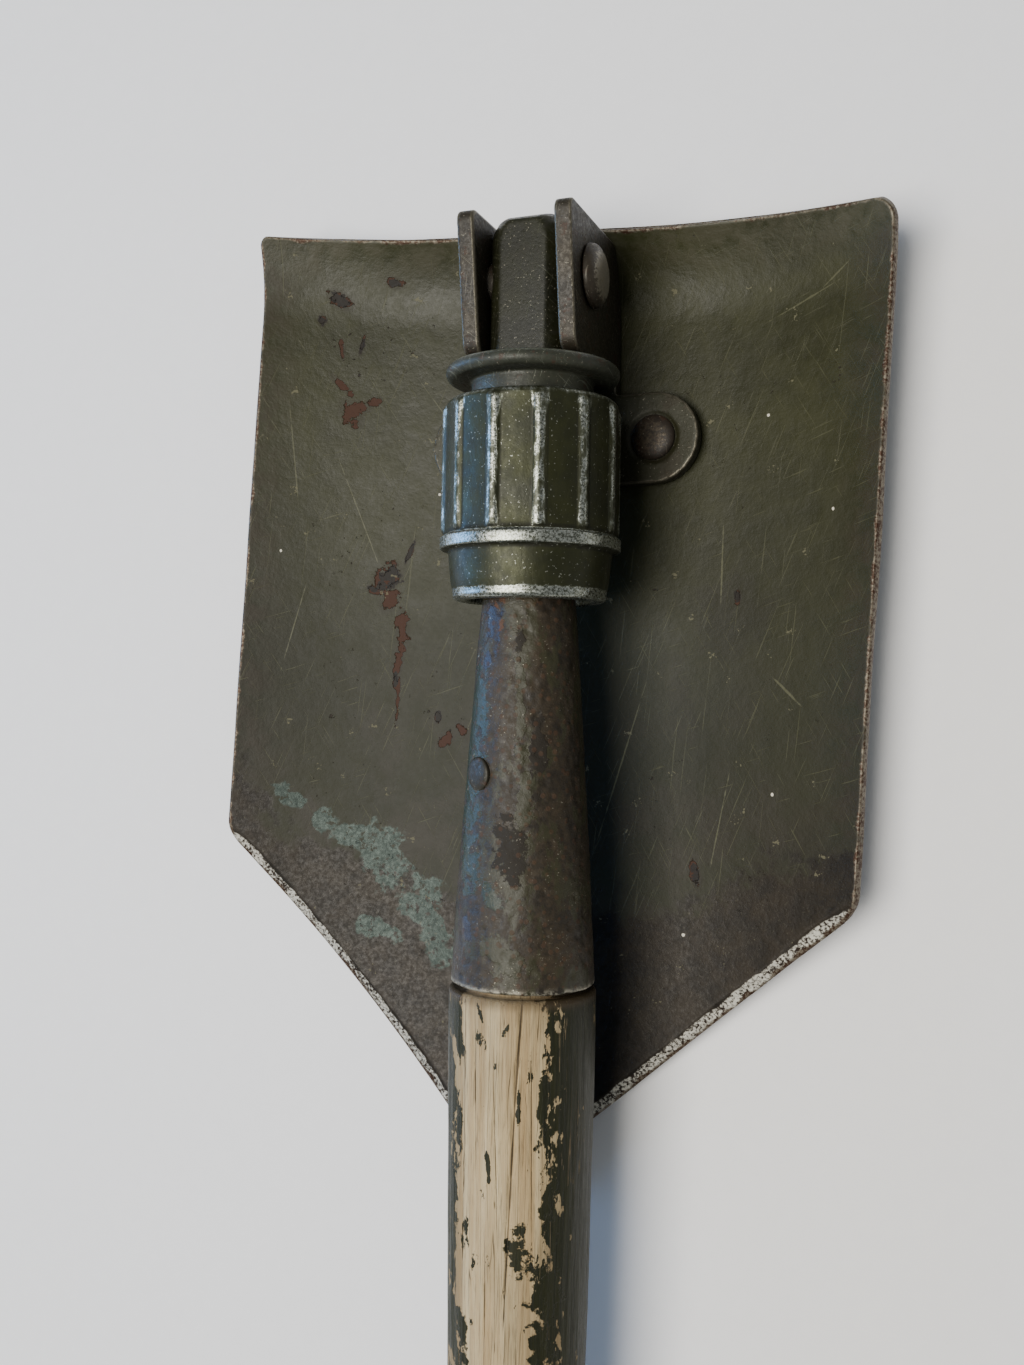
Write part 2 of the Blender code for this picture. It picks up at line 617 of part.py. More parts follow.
def make_retaining_ring(parent):
    """Open wire ring in the nut's groove, above the hub's lip."""
    half_gap = math.radians(WIRE_OPENING_ANGLE / 2)
    sweep = 2 * math.pi - 2 * half_gap
    rings = []
    for i in range(33):
        angle = math.pi + half_gap + sweep * i / 32
        section = arc((WIRE_RADIUS, WIRE_LEVEL), WIRE_DIAMETER / 2, 0, 315, 7)
        rings.append([around_shaft(r, y, angle) for r, y in section])
    wire = make_material("spring_wire", (0.12, 0.12, 0.12), 0.4, 0.9)
    make_object("retaining_ring", ring_stack(rings, False), parent, wire)


def nut_angles():
    """Angles and kinds of the nut's section points: rib crown, rib foot and panel middle."""
    angles, kinds = [], []
    step = 360.0 / NUT_RIBS
    for i in range(NUT_RIBS):
        middle = NUT_RIB_PHASE + step * i
        places = [-NUT_RIB_HALF_ANGLE, NUT_RIB_HALF_ANGLE, NUT_RIB_FOOT_ANGLE]
        places += [step / 2, step - NUT_RIB_FOOT_ANGLE]
        angles += [math.radians(middle + place) for place in places]
        kinds += ["crown", "crown", "foot", "panel", "foot"]
    return angles, kinds


def nut_rib_radii(kinds, crown, foot):
    """Radii of a ribbed section; the panels between the ribs are flat."""
    half_panel = math.radians(180.0 / NUT_RIBS - NUT_RIB_FOOT_ANGLE)
    radii = {"crown": crown, "foot": foot, "panel": foot * math.cos(half_panel)}
    return [radii[kind] for kind in kinds]


def make_nut(parent):
    """Ribbed sleeve with a band and a skirt, threaded inside, with a counterbore for the hub."""
    angles, kinds = nut_angles()
    top = NUT_TOP
    band_top = top - NUT_RIB_LENGTH
    band_end = band_top - NUT_BAND_HEIGHT
    end = band_end - NUT_SKIRT_HEIGHT
    rings = []

    def add_round(radius, y):
        rings.append([around_shaft(radius, y, a) for a in angles])

    def add_ribbed(crown, foot, y):
        radii = nut_rib_radii(kinds, crown, foot)
        rings.append([around_shaft(r, y, a) for r, a in zip(radii, angles)])

    add_round(NUT_RADIUS - NUT_TOP_ROUND, top)
    for set_back, drop in NUT_TOP_PROFILE:
        add_ribbed(NUT_RIB_RADIUS - set_back, NUT_PANEL_RADIUS - set_back, top - drop)
    add_ribbed(NUT_RIB_RADIUS, NUT_PANEL_RADIUS, band_top + EDGE_BREAK)
    add_round(NUT_RADIUS, band_top)
    add_round(NUT_RADIUS, band_end)
    add_round(NUT_SKIRT_RADIUS, band_end - GAP)
    for set_back, height in NUT_SKIRT_PROFILE:
        add_round(NUT_SKIRT_RADIUS - set_back, end + height)
    add_round(NUT_SKIRT_RADIUS - (NUT_SKIRT_ROUND + NUT_SKIRT_WALL) / 2, end)
    add_round(NUT_SKIRT_BORE, end + NUT_SKIRT_LEAD)
    bore = THREAD_RADIUS + THREAD_CLEARANCE
    rows = list(reversed(thread_rows(top - NUT_THREAD_START, NUT_THREAD_LENGTH)))
    add_round(NUT_SKIRT_BORE, rows[0] - THREAD_RUN_OUT)
    for y in rows:
        rings.append([around_shaft(bore + thread_wave(y, a), y, a) for a in angles])
    hub_floor = top - NUT_COUNTERBORE_DEPTH
    add_round(bore + THREAD_DEPTH, rows[-1] + EDGE_BREAK)
    add_round(bore + THREAD_DEPTH, hub_floor)
    add_round(NUT_COUNTERBORE, hub_floor)
    groove = WIRE_DIAMETER / 2 + GAP
    groove_radius = WIRE_RADIUS + groove
    add_round(NUT_COUNTERBORE, WIRE_LEVEL - groove)
    add_round(groove_radius, WIRE_LEVEL - groove)
    add_round(groove_radius, WIRE_LEVEL + groove)
    add_round(NUT_COUNTERBORE, WIRE_LEVEL + groove)
    add_round(NUT_COUNTERBORE, top)
    alloy = make_material("worn_painted_alloy", (0.16, 0.165, 0.12), 0.45, 0.6)
    make_object("locking_nut", ring_stack(rings, True), parent, alloy)


def ferrule_outside(y):
    """Outer radius of the ferrule at a level, a taper with a slight belly."""
    share = (-FERRULE_TOP - y) / FERRULE_LENGTH
    belly = FERRULE_BELLY * 4 * share * (1 - share)
    return FERRULE_TOP_RADIUS + (FERRULE_END_RADIUS - FERRULE_TOP_RADIUS) * share + belly


def ferrule_bore(y):
    """Bore radius of the ferrule at a level."""
    return ferrule_outside(y) - FERRULE_WALL


def make_ferrule(parent, rivet_hole):
    """Tapered socket tube."""
    levels = [-FERRULE_TOP - FERRULE_LENGTH * i / 6 for i in range(7)]
    outside = [(ferrule_outside(y), y) for y in levels]
    inside = [(ferrule_bore(y), y) for y in reversed(levels)]
    steel = make_material("pitted_ferrule_steel", (0.07, 0.05, 0.035), 0.65, 0.45)
    ferrule = make_object("ferrule", turned(outside + inside, 40, True), parent, steel)
    cut(ferrule, rivet_hole)


def handle_profile():
    """(radius, y) of the wooden handle from the tenon's end to the round butt."""
    head = -HANDLE_HEAD
    tenon_end = -TENON_END
    tenon_middle = (tenon_end + head) / 2
    points = [(ferrule_bore(tenon_end) - GAP - EDGE_BREAK, tenon_end)]
    points += [(ferrule_bore(y) - GAP, y) for y in (tenon_end - EDGE_BREAK, tenon_middle)]
    points += [(ferrule_bore(-FERRULE_END) - GAP, head), (HANDLE_HEAD_RADIUS - EDGE_BREAK, head)]
    points += [(HANDLE_HEAD_RADIUS, head - HANDLE_SHOULDER_ROUND)]
    waist_shares = (0.08, 0.16, 0.26, 0.38, 0.5)
    for share in waist_shares:
        drop = HANDLE_WAIST_DROP * math.sin(share * math.pi) ** 1.4
        points.append((HANDLE_HEAD_RADIUS - drop, head - HANDLE_LENGTH * share))
    knob_shares = (0.62, 0.74, 0.84, 0.92)
    for share in knob_shares:
        swell = math.sin((share - 0.5) / (knob_shares[-1] - 0.5) * math.pi / 2) ** 2
        points.append((HANDLE_WAIST_RADIUS + HANDLE_KNOB_RISE * swell, head - HANDLE_LENGTH * share))
    dome = HANDLE_LENGTH * HANDLE_DOME_SHARE
    end = head - HANDLE_LENGTH
    for angle in (15, 35, 55, 72, 84):
        a = math.radians(angle)
        radius = (HANDLE_WAIST_RADIUS + HANDLE_KNOB_RISE) * math.cos(a)
        points.append((radius, end + dome * (1 - math.sin(a))))
    return points


def make_handle(parent, rivet_hole):
    """Turned wooden handle with a tapered tenon."""
    wood = make_material("weathered_ash", (0.42, 0.33, 0.22), 0.75, 0.0)
    handle = make_object("handle", turned(handle_profile(), COARSE, False), parent, wood)
    cut(handle, rivet_hole)


def cross_rivet(profile, segments):
    """Turn (radius, reach) points about the handle rivet's axis, which crosses the shaft."""
    angle = math.radians(HANDLE_RIVET_ANGLE)
    turn = Matrix.Rotation(angle, 3, "Y")
    centre = Vector((0.0, -HANDLE_RIVET_AT, 0.0))
    rings = []
    for radius, reach in profile:
        ring = [Vector((radius * math.cos(a), radius * math.sin(a), reach)) for a in even_angles(segments)]
        rings.append([centre + turn @ point for point in ring])
    return ring_stack(rings, False)


def make_handle_rivet(parent):
    """Cross rivet with low heads on the ferrule; returns the cutter of its hole."""
    skin = ferrule_outside(-HANDLE_RIVET_AT - HANDLE_RIVET_HEAD) + GAP
    half = [(HANDLE_RIVET_RADIUS, skin), (HANDLE_RIVET_HEAD, skin)]
    half.append((HANDLE_RIVET_HEAD * 0.8, skin + HANDLE_RIVET_RIM))
    half.append((HANDLE_RIVET_HEAD * 0.3, skin + HANDLE_RIVET_DOME))
    profile = [(r, -reach) for r, reach in reversed(half)] + half
    steel = make_material("handle_rivet_steel", (0.09, 0.085, 0.08), 0.5, 0.6)
    make_object("handle_rivet", cross_rivet(profile, 20), parent, steel)
    radius = HANDLE_RIVET_RADIUS + GAP
    reach = FERRULE_END_RADIUS + CUTTER_REACH
    return make_object("handle_rivet_hole", cross_rivet([(radius, -reach), (radius, reach)], 24), parent)


def build():
    """Make every piece under the frame it moves with."""
    clear_scene()
    shaft = make_frame("shaft_frame", None, (0.0, REST_FACE_BELOW_PIVOT, PIVOT_HEIGHT))
    fold = make_frame("blade_frame", shaft)
    ring = make_frame("ring_frame", shaft)
    nut = make_frame("nut_frame", ring)
    rivet_cutters = make_blade_rivets(fold)
    make_blade(fold, rivet_cutters)
    make_bracket(fold, rivet_cutters, make_pivot_hole("ear_hole", fold))
    make_pivot(fold)
    make_neck(shaft)
    make_thrust_ring(ring)
    make_retaining_ring(nut)
    make_nut(nut)
    handle_hole = make_handle_rivet(shaft)
    make_ferrule(shaft, handle_hole)
    make_handle(shaft, handle_hole)


build()
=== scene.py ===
"""Fine surfaces and finishes of a folding camp shovel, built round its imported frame.

Metres, +X across the blade, +Y along the shaft towards the hinge, +Z up from the blade's back.
Shapes are drawn from the hinge pivot: lengths along the shaft are negative towards the handle.
"""

import json
import logging
import math
from dataclasses import dataclass
from enum import Enum
from functools import lru_cache
from typing import Optional, Sequence, Union

import bpy
import numpy as np
from mathutils import Matrix, Vector


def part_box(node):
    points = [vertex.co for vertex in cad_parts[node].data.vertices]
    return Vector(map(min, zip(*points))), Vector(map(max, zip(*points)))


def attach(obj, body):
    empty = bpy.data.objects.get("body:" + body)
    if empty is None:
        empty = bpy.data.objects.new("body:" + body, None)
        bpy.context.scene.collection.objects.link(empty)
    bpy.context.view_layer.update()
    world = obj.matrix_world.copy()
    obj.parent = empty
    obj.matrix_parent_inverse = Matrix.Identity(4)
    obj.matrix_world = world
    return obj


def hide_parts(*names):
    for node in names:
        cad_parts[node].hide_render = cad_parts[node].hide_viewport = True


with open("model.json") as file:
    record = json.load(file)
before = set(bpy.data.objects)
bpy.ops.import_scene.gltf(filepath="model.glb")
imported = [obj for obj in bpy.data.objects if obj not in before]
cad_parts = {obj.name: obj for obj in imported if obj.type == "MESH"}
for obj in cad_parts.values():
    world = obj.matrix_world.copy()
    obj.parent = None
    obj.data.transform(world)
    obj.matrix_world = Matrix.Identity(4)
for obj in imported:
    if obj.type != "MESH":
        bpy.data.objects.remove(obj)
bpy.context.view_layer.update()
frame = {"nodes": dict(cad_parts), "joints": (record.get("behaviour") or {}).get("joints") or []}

LOG = logging.getLogger("camp_shovel")
MM = 0.001

Piece = bpy.types.Object
Finish = bpy.types.Material
Socket = bpy.types.NodeSocket
Value = Union[float, Socket]
Shade = Union[tuple[float, float, float], Socket]
Size = Union[float, tuple]
Profile = list[tuple[float, float]]


class Body(Enum):
    """The frame's moving bodies."""

    SHAFT = "shaft"
    RING = "ring"
    NUT = "nut"
    BLADE = "blade"


class Slot(Enum):
    """The record's material slots."""

    BLADE = "blade_paint"
    BRACKET = "bracket_steel"
    RIVET = "rivet_steel"
    PIVOT = "pivot_steel"
    NECK = "neck_paint"
    RING = "ring_steel"
    NUT = "nut_alloy"
    FERRULE = "ferrule_steel"
    WOOD = "handle_wood"


class Mark(Enum):
    """Vertex attributes that the finishes read."""

    WORN = "worn"
    BARE = "bare"
    RIM = "rim"
    RELIEF = "relief"
    NORMAL = "stand"


def pivot_place() -> Vector:
    """Where the blade's hinge is, in the frame."""
    for joint in frame["joints"]:
        if joint["name"] == "blade_fold":
            return Vector(joint["pos_m"])
    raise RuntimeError("the frame has no blade_fold joint")


PIVOT = pivot_place()


@lru_cache(maxsize=None)
def span(node: str) -> tuple[Vector, Vector]:
    """Lowest and highest corner of a frame node, measured from the pivot."""
    low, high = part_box(node)
    return low - PIVOT, high - PIVOT


# ---------------------------------------------------------------- meshes


def wound_faces(rows: int, columns: int, close_rows: bool) -> np.ndarray:
    """Quads of a surface whose columns run round a ring.

    Args:
        rows: number of rings.
        columns: number of points on each ring.
        close_rows: whether the last ring joins the first.

    Returns:
        One row of four indices for each quad.
    """
    steps = rows if close_rows else rows - 1
    i, j = np.meshgrid(np.arange(steps), np.arange(columns), indexing="ij")
    a = i * columns + j
    b = i * columns + (j + 1) % columns
    c = ((i + 1) % rows) * columns + (j + 1) % columns
    d = ((i + 1) % rows) * columns + j
    return np.stack([a, b, c, d], axis=-1).reshape(-1, 4)


def make_piece(name: str, points: np.ndarray, faces: list) -> Piece:
    """Make a smooth-shaded object from points given from the pivot.

    Args:
        name: the piece's name.
        points: one row of three coordinates for each vertex.
        faces: vertex indices of each face, facing outwards.

    Returns:
        The linked object, at the origin.
    """
    mesh = bpy.data.meshes.new(name)
    mesh.from_pydata((points + np.array(PIVOT)).tolist(), [], faces)
    mesh.validate()
    mesh.shade_smooth()
    piece = bpy.data.objects.new(name, mesh)
    bpy.context.scene.collection.objects.link(piece)
    return piece


def turned_points(profile: Sequence[tuple[float, float]], segments: int) -> np.ndarray:
    """Points of a profile of (radius, y) pairs turned about the shaft's axis.

    Args:
        profile: radius and level of each ring.
        segments: points on each ring.

    Returns:
        An array of rings, points and coordinates.
    """
    angle = np.linspace(0, 2 * math.pi, segments, endpoint=False)
    rows = np.array(profile)
    radius, level = rows[:, :1], rows[:, 1:]
    across = radius * np.sin(angle)
    up = radius * np.cos(angle)
    return np.stack([across, level + 0 * across, up], axis=-1)


def ring_faces(points: np.ndarray, closed: bool) -> list:
    """Faces of stacked rings, with a cap on each end when the stack isn't closed.

    Args:
        points: rings, points and coordinates.
        closed: whether the last ring joins the first.

    Returns:
        Vertex indices of each face.
    """
    rows, columns = points.shape[:2]
    faces = wound_faces(rows, columns, closed).tolist()
    if not closed:
        faces.append(list(range(columns))[::-1])
        faces.append(list(range((rows - 1) * columns, rows * columns)))
    return faces


def turned_piece(name: str, points: np.ndarray, closed: bool) -> Piece:
    """Make a piece from stacked rings of points.

    Args:
        name: the piece's name.
        points: rings, points and coordinates, from the pivot.
        closed: whether the last ring joins the first; otherwise both ends are capped.

    Returns:
        The object, with its faces outwards.
    """
    piece = make_piece(name, points.reshape(-1, 3), ring_faces(points, closed))
    face_out(piece)
    return piece


def face_out(piece: Piece) -> None:
    """Turn a closed shape's faces outwards if its volume comes out negative."""
    mesh = piece.data
    mesh.calc_loop_triangles()
    corners = np.empty(len(mesh.loop_triangles) * 3, np.int32)
    mesh.loop_triangles.foreach_get("vertices", corners)
    place = read_points(mesh)[corners].reshape(-1, 3, 3)
    place = place - place.mean(axis=(0, 1))
    volume = np.einsum("ij,ij->i", place[:, 0], np.cross(place[:, 1], place[:, 2])).sum()
    if volume < 0:
        mesh.flip_normals()


def read_points(mesh: bpy.types.Mesh) -> np.ndarray:
    """Vertex places of a mesh, one row each."""
    flat = np.empty(len(mesh.vertices) * 3)
    mesh.vertices.foreach_get("co", flat)
    return flat.reshape(-1, 3)


def round_places(mesh: bpy.types.Mesh) -> tuple[np.ndarray, np.ndarray, np.ndarray]:
    """Each vertex's distance from the shaft's axis, its level, and its angle about the axis."""
    place = read_points(mesh) - np.array(PIVOT)
    return np.hypot(place[:, 0], place[:, 2]), place[:, 1], np.arctan2(place[:, 0], place[:, 2])


def write_mark(mesh: bpy.types.Mesh, mark: Mark, values: np.ndarray) -> None:
    """Store one number for each vertex under a mark's name."""
    store = mesh.attributes.get(mark.value) or mesh.attributes.new(mark.value, "FLOAT", "POINT")
    store.data.foreach_set("value", np.asarray(values, np.float32))


def mark_wear(mesh: bpy.types.Mesh, gain: float, rounds: int) -> None:
    """Mark convex edges, where hands and earth wear a finish through.

    Args:
        mesh: the mesh to mark.
        gain: how strongly a sharp edge counts.
        rounds: how many times the mark is spread to its neighbours.
    """
    count = len(mesh.vertices)
    place = read_points(mesh)
    ends = np.empty(len(mesh.edges) * 2, np.int32)
    mesh.edges.foreach_get("vertices", ends)
    first, second = ends[0::2], ends[1::2]
    normal = np.empty(count * 3)
    mesh.vertex_normals.foreach_get("vector", normal)
    normal = normal.reshape(-1, 3)
    links = np.bincount(ends, minlength=count).clip(1)

    def neighbour_mean(values: np.ndarray) -> np.ndarray:
        """Mean of a value over each vertex's neighbours."""
        total = np.bincount(first, values[second], count) + np.bincount(second, values[first], count)
        return total / links

    centre = np.stack([neighbour_mean(place[:, k]) for k in range(3)], axis=1)
    length = np.linalg.norm(place[first] - place[second], axis=1).mean()
    bulge = ((place - centre) * normal).sum(axis=1) / length
    for _ in range(rounds):
        bulge = 0.5 * bulge + 0.5 * neighbour_mean(bulge)
    write_mark(mesh, Mark.WORN, np.clip(bulge * gain, 0, 1))


def remeshed(name: str, node: str, voxel: float, smoothing: int) -> Piece:
    """A fine, slightly rounded skin over a frame node.

    Args:
        name: the new piece's name.
        node: the frame node it stands for.
        voxel: size of the skin's cells.
        smoothing: number of smoothing passes, which break the edges.

    Returns:
        The new object.
    """
    mesh = frame["nodes"][node].data.copy()
    mesh.name = name
    mesh.materials.clear()
    piece = bpy.data.objects.new(name, mesh)
    bpy.context.scene.collection.objects.link(piece)
    weld = piece.modifiers.new("weld", "WELD")
    weld.merge_threshold = 0.00001
    skin = piece.modifiers.new("skin", "REMESH")
    skin.mode = "VOXEL"
    skin.voxel_size = voxel
    smooth = piece.modifiers.new("smooth", "SMOOTH")
    smooth.iterations = smoothing
    smooth.factor = 0.5
    bake_modifiers(piece)
    piece.data.shade_smooth()
    return piece


def bake_modifiers(piece: Piece) -> None:
    """Turn a piece's modifiers into a plain mesh."""
    bpy.context.view_layer.update()
    graph = bpy.context.evaluated_depsgraph_get()
    mesh = bpy.data.meshes.new_from_object(piece.evaluated_get(graph))
    mesh.name = piece.name
    piece.modifiers.clear()
    piece.data = mesh


# ---------------------------------------------------------------- node trees


class Weave:
    """Writes a node tree, for a finish or for geometry."""

    def __init__(self, tree: bpy.types.NodeTree) -> None:
        """Start on a tree."""
        self.tree = tree

    def put(self, socket: Socket, value: Union[Value, Shade]) -> None:
        """Link a socket to another, or set its own value.

        Args:
            socket: the input to fill.
            value: a socket, a number, or a colour or vector.
        """
        if isinstance(value, Socket):
            self.tree.links.new(value, socket)
        elif socket.type == "RGBA":
            socket.default_value = (*value, 1.0)
        else:
            socket.default_value = value

    def node(self, kind: str, inputs: dict, **settings: object) -> bpy.types.Node:
        """Add a node.

        Args:
            kind: Blender's name for the node.
            inputs: values or sockets by input name or number.
            settings: the node's own options.

        Returns:
            The new node.
        """
        made = self.tree.nodes.new(kind)
        for option, choice in settings.items():
            setattr(made, option, choice)
        for key, value in inputs.items():
            self.put(made.inputs[key], value)
        return made

    def math(self, operation: str, a: Value, b: Value = 0.0) -> Socket:
        """One sum of two numbers."""
        return self.node("ShaderNodeMath", {0: a, 1: b}, operation=operation).outputs[0]

    def times(self, a: Value, b: Value) -> Socket:
        """Product of two numbers."""
        return self.math("MULTIPLY", a, b)

    def plus(self, a: Value, b: Value) -> Socket:
        """Sum of two numbers."""
        return self.math("ADD", a, b)

    def minus(self, a: Value, b: Value) -> Socket:
        """First number less the second."""
        return self.math("SUBTRACT", a, b)

    def over(self, a: Value, b: Value) -> Socket:
        """First number divided by the second."""
        return self.math("DIVIDE", a, b)

    def magnitude(self, a: Value) -> Socket:
        """A number without its sign."""
        return self.math("ABSOLUTE", a)

    def vector(self, operation: str, a: Socket, b: Union[tuple, Socket]) -> Socket:
        """One sum of two vectors."""
        return self.node("ShaderNodeVectorMath", {0: a, 1: b}, operation=operation).outputs[0]

    def step(self, value: Socket, low: float, high: float, out: tuple = (0.0, 1.0)) -> Socket:
        """Smooth step between two levels.

        Args:
            value: what is measured.
            low: level where the step starts; it may be above high, for a step down.
            high: level where the step ends.
            out: what comes out at the two levels.

        Returns:
            The stepped value.
        """
        if low > high:
            low, high, out = high, low, (out[1], out[0])
        inputs = {"Value": value, "From Min": low, "From Max": high, "To Min": out[0], "To Max": out[1]}
        return self.node("ShaderNodeMapRange", inputs, interpolation_type="SMOOTHSTEP").outputs[0]

    def shifted(self, place: Socket, size: Size, shift: tuple) -> Socket:
        """Coordinates counted in feature sizes, then shifted."""
        sizes = size if isinstance(size, tuple) else (size, size, size)
        return self.vector("ADD", self.vector("MULTIPLY", place, tuple(1.0 / s for s in sizes)), shift)

    def noise(
        self, place: Socket, size: Size, detail: float = 3.0, rough: float = 0.55,
        seed: float = 0.0,
    ) -> Socket:
        """Soft noise round 0.5.

        Args:
            place: coordinates in metres.
            size: size of its features in metres, one number or one for each axis.
            detail: number of finer layers.
            rough: strength of the finer layers.
            seed: shifts the pattern.

        Returns:
            The noise value.
        """
        moved = self.shifted(place, size, (seed * 7.3, seed * 3.1, seed * 5.7))
        inputs = {"Vector": moved, "Scale": 1.0, "Detail": detail, "Roughness": rough}
        return self.node("ShaderNodeTexNoise", inputs).outputs[0]

    def cells(self, place: Socket, size: Size, seed: float = 0.0) -> Socket:
        """Distance to the middle of the nearest of many scattered cells, in cell sizes."""
        moved = self.shifted(place, size, (seed * 4.1, seed * 6.7, seed * 2.3))
        return self.node("ShaderNodeTexVoronoi", {"Vector": moved, "Scale": 1.0}).outputs["Distance"]

    def parts(self, vector: Socket) -> tuple[Socket, Socket, Socket]:
        """The three numbers of a vector."""
        split = self.node("ShaderNodeSeparateXYZ", {0: vector})
        return split.outputs[0], split.outputs[1], split.outputs[2]


@dataclass(frozen=True)
class Spot:
    """An oval place on a surface, in millimetres and degrees."""

    x: float
    y: float
    half_length: float
    half_width: float
    turn: float = 0.0


def spots(*rows: tuple) -> tuple:
    """Spots from rows of x, y, half length, half width and turn."""
    return tuple(Spot(*row) for row in rows)


class Coats(Weave):
    """A Principled finish built up coat by coat."""

    def __init__(self, name: str, colour: Shade, roughness: Value, shine: float) -> None:
        """Start a finish with its lowest coat.

        Args:
            name: the material's name.
            colour: colour of the lowest coat.
            roughness: roughness of the lowest coat.
            shine: gloss level, the same for every coat.
        """
        self.material = bpy.data.materials.new(name)
        self.material.use_nodes = True
        super().__init__(self.material.node_tree)
        self.shader = self.tree.nodes["Principled BSDF"]
        self.shader.inputs["Specular IOR Level"].default_value = shine
        self.place = self.node("ShaderNodeTexCoord", {}).outputs["Object"]
        self.colour: Shade = colour
        self.roughness: Value = roughness
        self.metallic: Value = 0.0
        self.height: Optional[Socket] = None

    def centred(self, turn: float = 0.0) -> Socket:
        """Coordinates measured from the pivot, in axes turned about +Z."""
        inputs = {"Vector": self.place, "Location": tuple(PIVOT), "Rotation": (0.0, 0.0, turn)}
        return self.node("ShaderNodeMapping", inputs, vector_type="TEXTURE").outputs[0]

    def mark(self, mark: Mark) -> Socket:
        """A vertex attribute's value."""
        return self.node("ShaderNodeAttribute", {}, attribute_name=mark.value).outputs["Fac"]

    def mix(self, share: Value, old: Value, new: Value) -> Socket:
        """Blend two numbers."""
        return self.node("ShaderNodeMix", {0: share, 2: old, 3: new}, data_type="FLOAT").outputs[0]

    def blend(self, share: Value, old: Shade, new: Shade) -> Socket:
        """Blend two colours."""
        return self.node("ShaderNodeMix", {0: share, 6: old, 7: new}, data_type="RGBA").outputs[2]

    def grain(self, size: Size, **options: float) -> Socket:
        """Soft noise in the object's own coordinates."""
        return self.noise(self.place, size, **options)

    def patches(self, low: float, high: float, size: Size, **options: float) -> Socket:
        """Mask of scattered patches, where the noise passes a level."""
        return self.step(self.grain(size, **options), low, high)

    def spread(self, noise: Socket, low: float, high: float) -> Socket:
        """Stretch soft noise to run from one value to another."""
        return self.step(noise, 0.3, 0.7, (low, high))

    def weighted(self, a: Socket, a_share: float, b: Socket, b_share: float) -> Socket:
        """Sum of two numbers, each times its share."""
        return self.plus(self.times(a, a_share), self.times(b, b_share))

    def torn(self, value: Value, noise: Socket, reach: float) -> Socket:
        """A number made ragged by soft noise."""
        return self.plus(value, self.times(self.plus(noise, -0.5), reach))

    def striped(self, place: Socket, turn: tuple, size: tuple, **options: float) -> Socket:
        """Noise drawn out into lines, in coordinates turned by three angles."""
        inputs = {"Vector": place, "Rotation": turn}
        turned = self.node("ShaderNodeMapping", inputs, vector_type="POINT").outputs[0]
        return self.noise(turned, size, detail=2.0, **options)

    def wrapped(self, radius: float) -> tuple[Socket, Socket, Socket]:
        """Angle about the shaft, level along it, and coordinates unrolled at a radius in millimetres.

        Args:
            radius: the radius to unroll at.

        Returns:
            The angle, the level and the unrolled coordinates.
        """
        across, along, up = self.parts(self.centred())
        angle = self.math("ARCTAN2", across, up)
        arc = self.times(angle, radius * MM)
        return angle, along, self.node("ShaderNodeCombineXYZ", {0: arc, 1: along, 2: 0.0}).outputs[0]

    def cover(
        self, mask: Value, colour: Shade, roughness: Optional[Value] = None,
        metallic: Optional[float] = None, lift: float = 0.0, share: float = 1.0,
    ) -> None:
        """Lay another coat over what is there.

        Args:
            mask: where the coat lies, from 0 to 1.
            colour: the coat's colour.
            roughness: the coat's roughness, or None to leave it.
            metallic: the coat's metallic value, or None to leave it.
            lift: height of the coat in metres, negative where it is worn away.
            share: how dense the coat is.
        """
        if share != 1.0:
            mask = self.times(mask, share)
        self.colour = self.blend(mask, self.colour, colour)
        if roughness is not None:
            self.roughness = self.mix(mask, self.roughness, roughness)
        if metallic is not None:
            self.metallic = self.mix(mask, self.metallic, metallic)
        if lift:
            self.raise_by(mask, lift)

    def raise_by(self, pattern: Socket, metres: float) -> None:
        """Add a pattern times a height to the surface's fine relief."""
        height = self.times(pattern, metres)
        self.height = height if self.height is None else self.plus(self.height, height)

    def spots(self, place: Socket, spots: Sequence[Spot]) -> Socket:
        """How far outside the nearest spot a place is.

        Args:
            place: coordinates from the pivot.
            spots: where the spots are.

        Returns:
            The distance in half sizes of the spot, under 1 inside it.
        """
        nearest: Optional[Socket] = None
        for spot in spots:
            inputs = {
                "Vector": place,
                "Location": (spot.x * MM, spot.y * MM, 0.0),
                "Rotation": (0.0, 0.0, math.radians(spot.turn)),
                "Scale": (spot.half_width * MM, spot.half_length * MM, 10.0),
            }
            moved = self.node("ShaderNodeMapping", inputs, vector_type="TEXTURE").outputs[0]
            far = self.node("ShaderNodeVectorMath", {0: moved}, operation="LENGTH").outputs["Value"]
            nearest = far if nearest is None else self.math("MINIMUM", nearest, far)
        return nearest

    def ragged(
        self, place: Socket, spots: Sequence[Spot], size: float, reach: float, seed: float, soft: float,
    ) -> Socket:
        """Mask of spots with a torn outline.

        Args:
            place: coordinates from the pivot.
            spots: where the spots are.
            size: size of the outline's teeth in metres.
            reach: how far the teeth go, as a share of a spot.
            seed: shifts the pattern.
            soft: softness of the outline.

        Returns:
            The mask.
        """
        teeth = self.grain(size, detail=4.0, rough=0.62, seed=seed)
        outline = self.torn(self.spots(place, spots), teeth, reach)
        return self.step(outline, 1.0 + soft, 1.0 - soft)

    def done(self) -> Finish:
        """Join the coats to the shader and give the finished material."""
        self.put(self.shader.inputs["Base Color"], self.colour)
        self.put(self.shader.inputs["Roughness"], self.roughness)
        self.put(self.shader.inputs["Metallic"], self.metallic)
        if self.height is not None:
            bump = self.node("ShaderNodeBump", {"Strength": 1.0, "Distance": 1.0, "Height": self.height})
            self.put(self.shader.inputs["Normal"], bump.outputs[0])
        return self.material


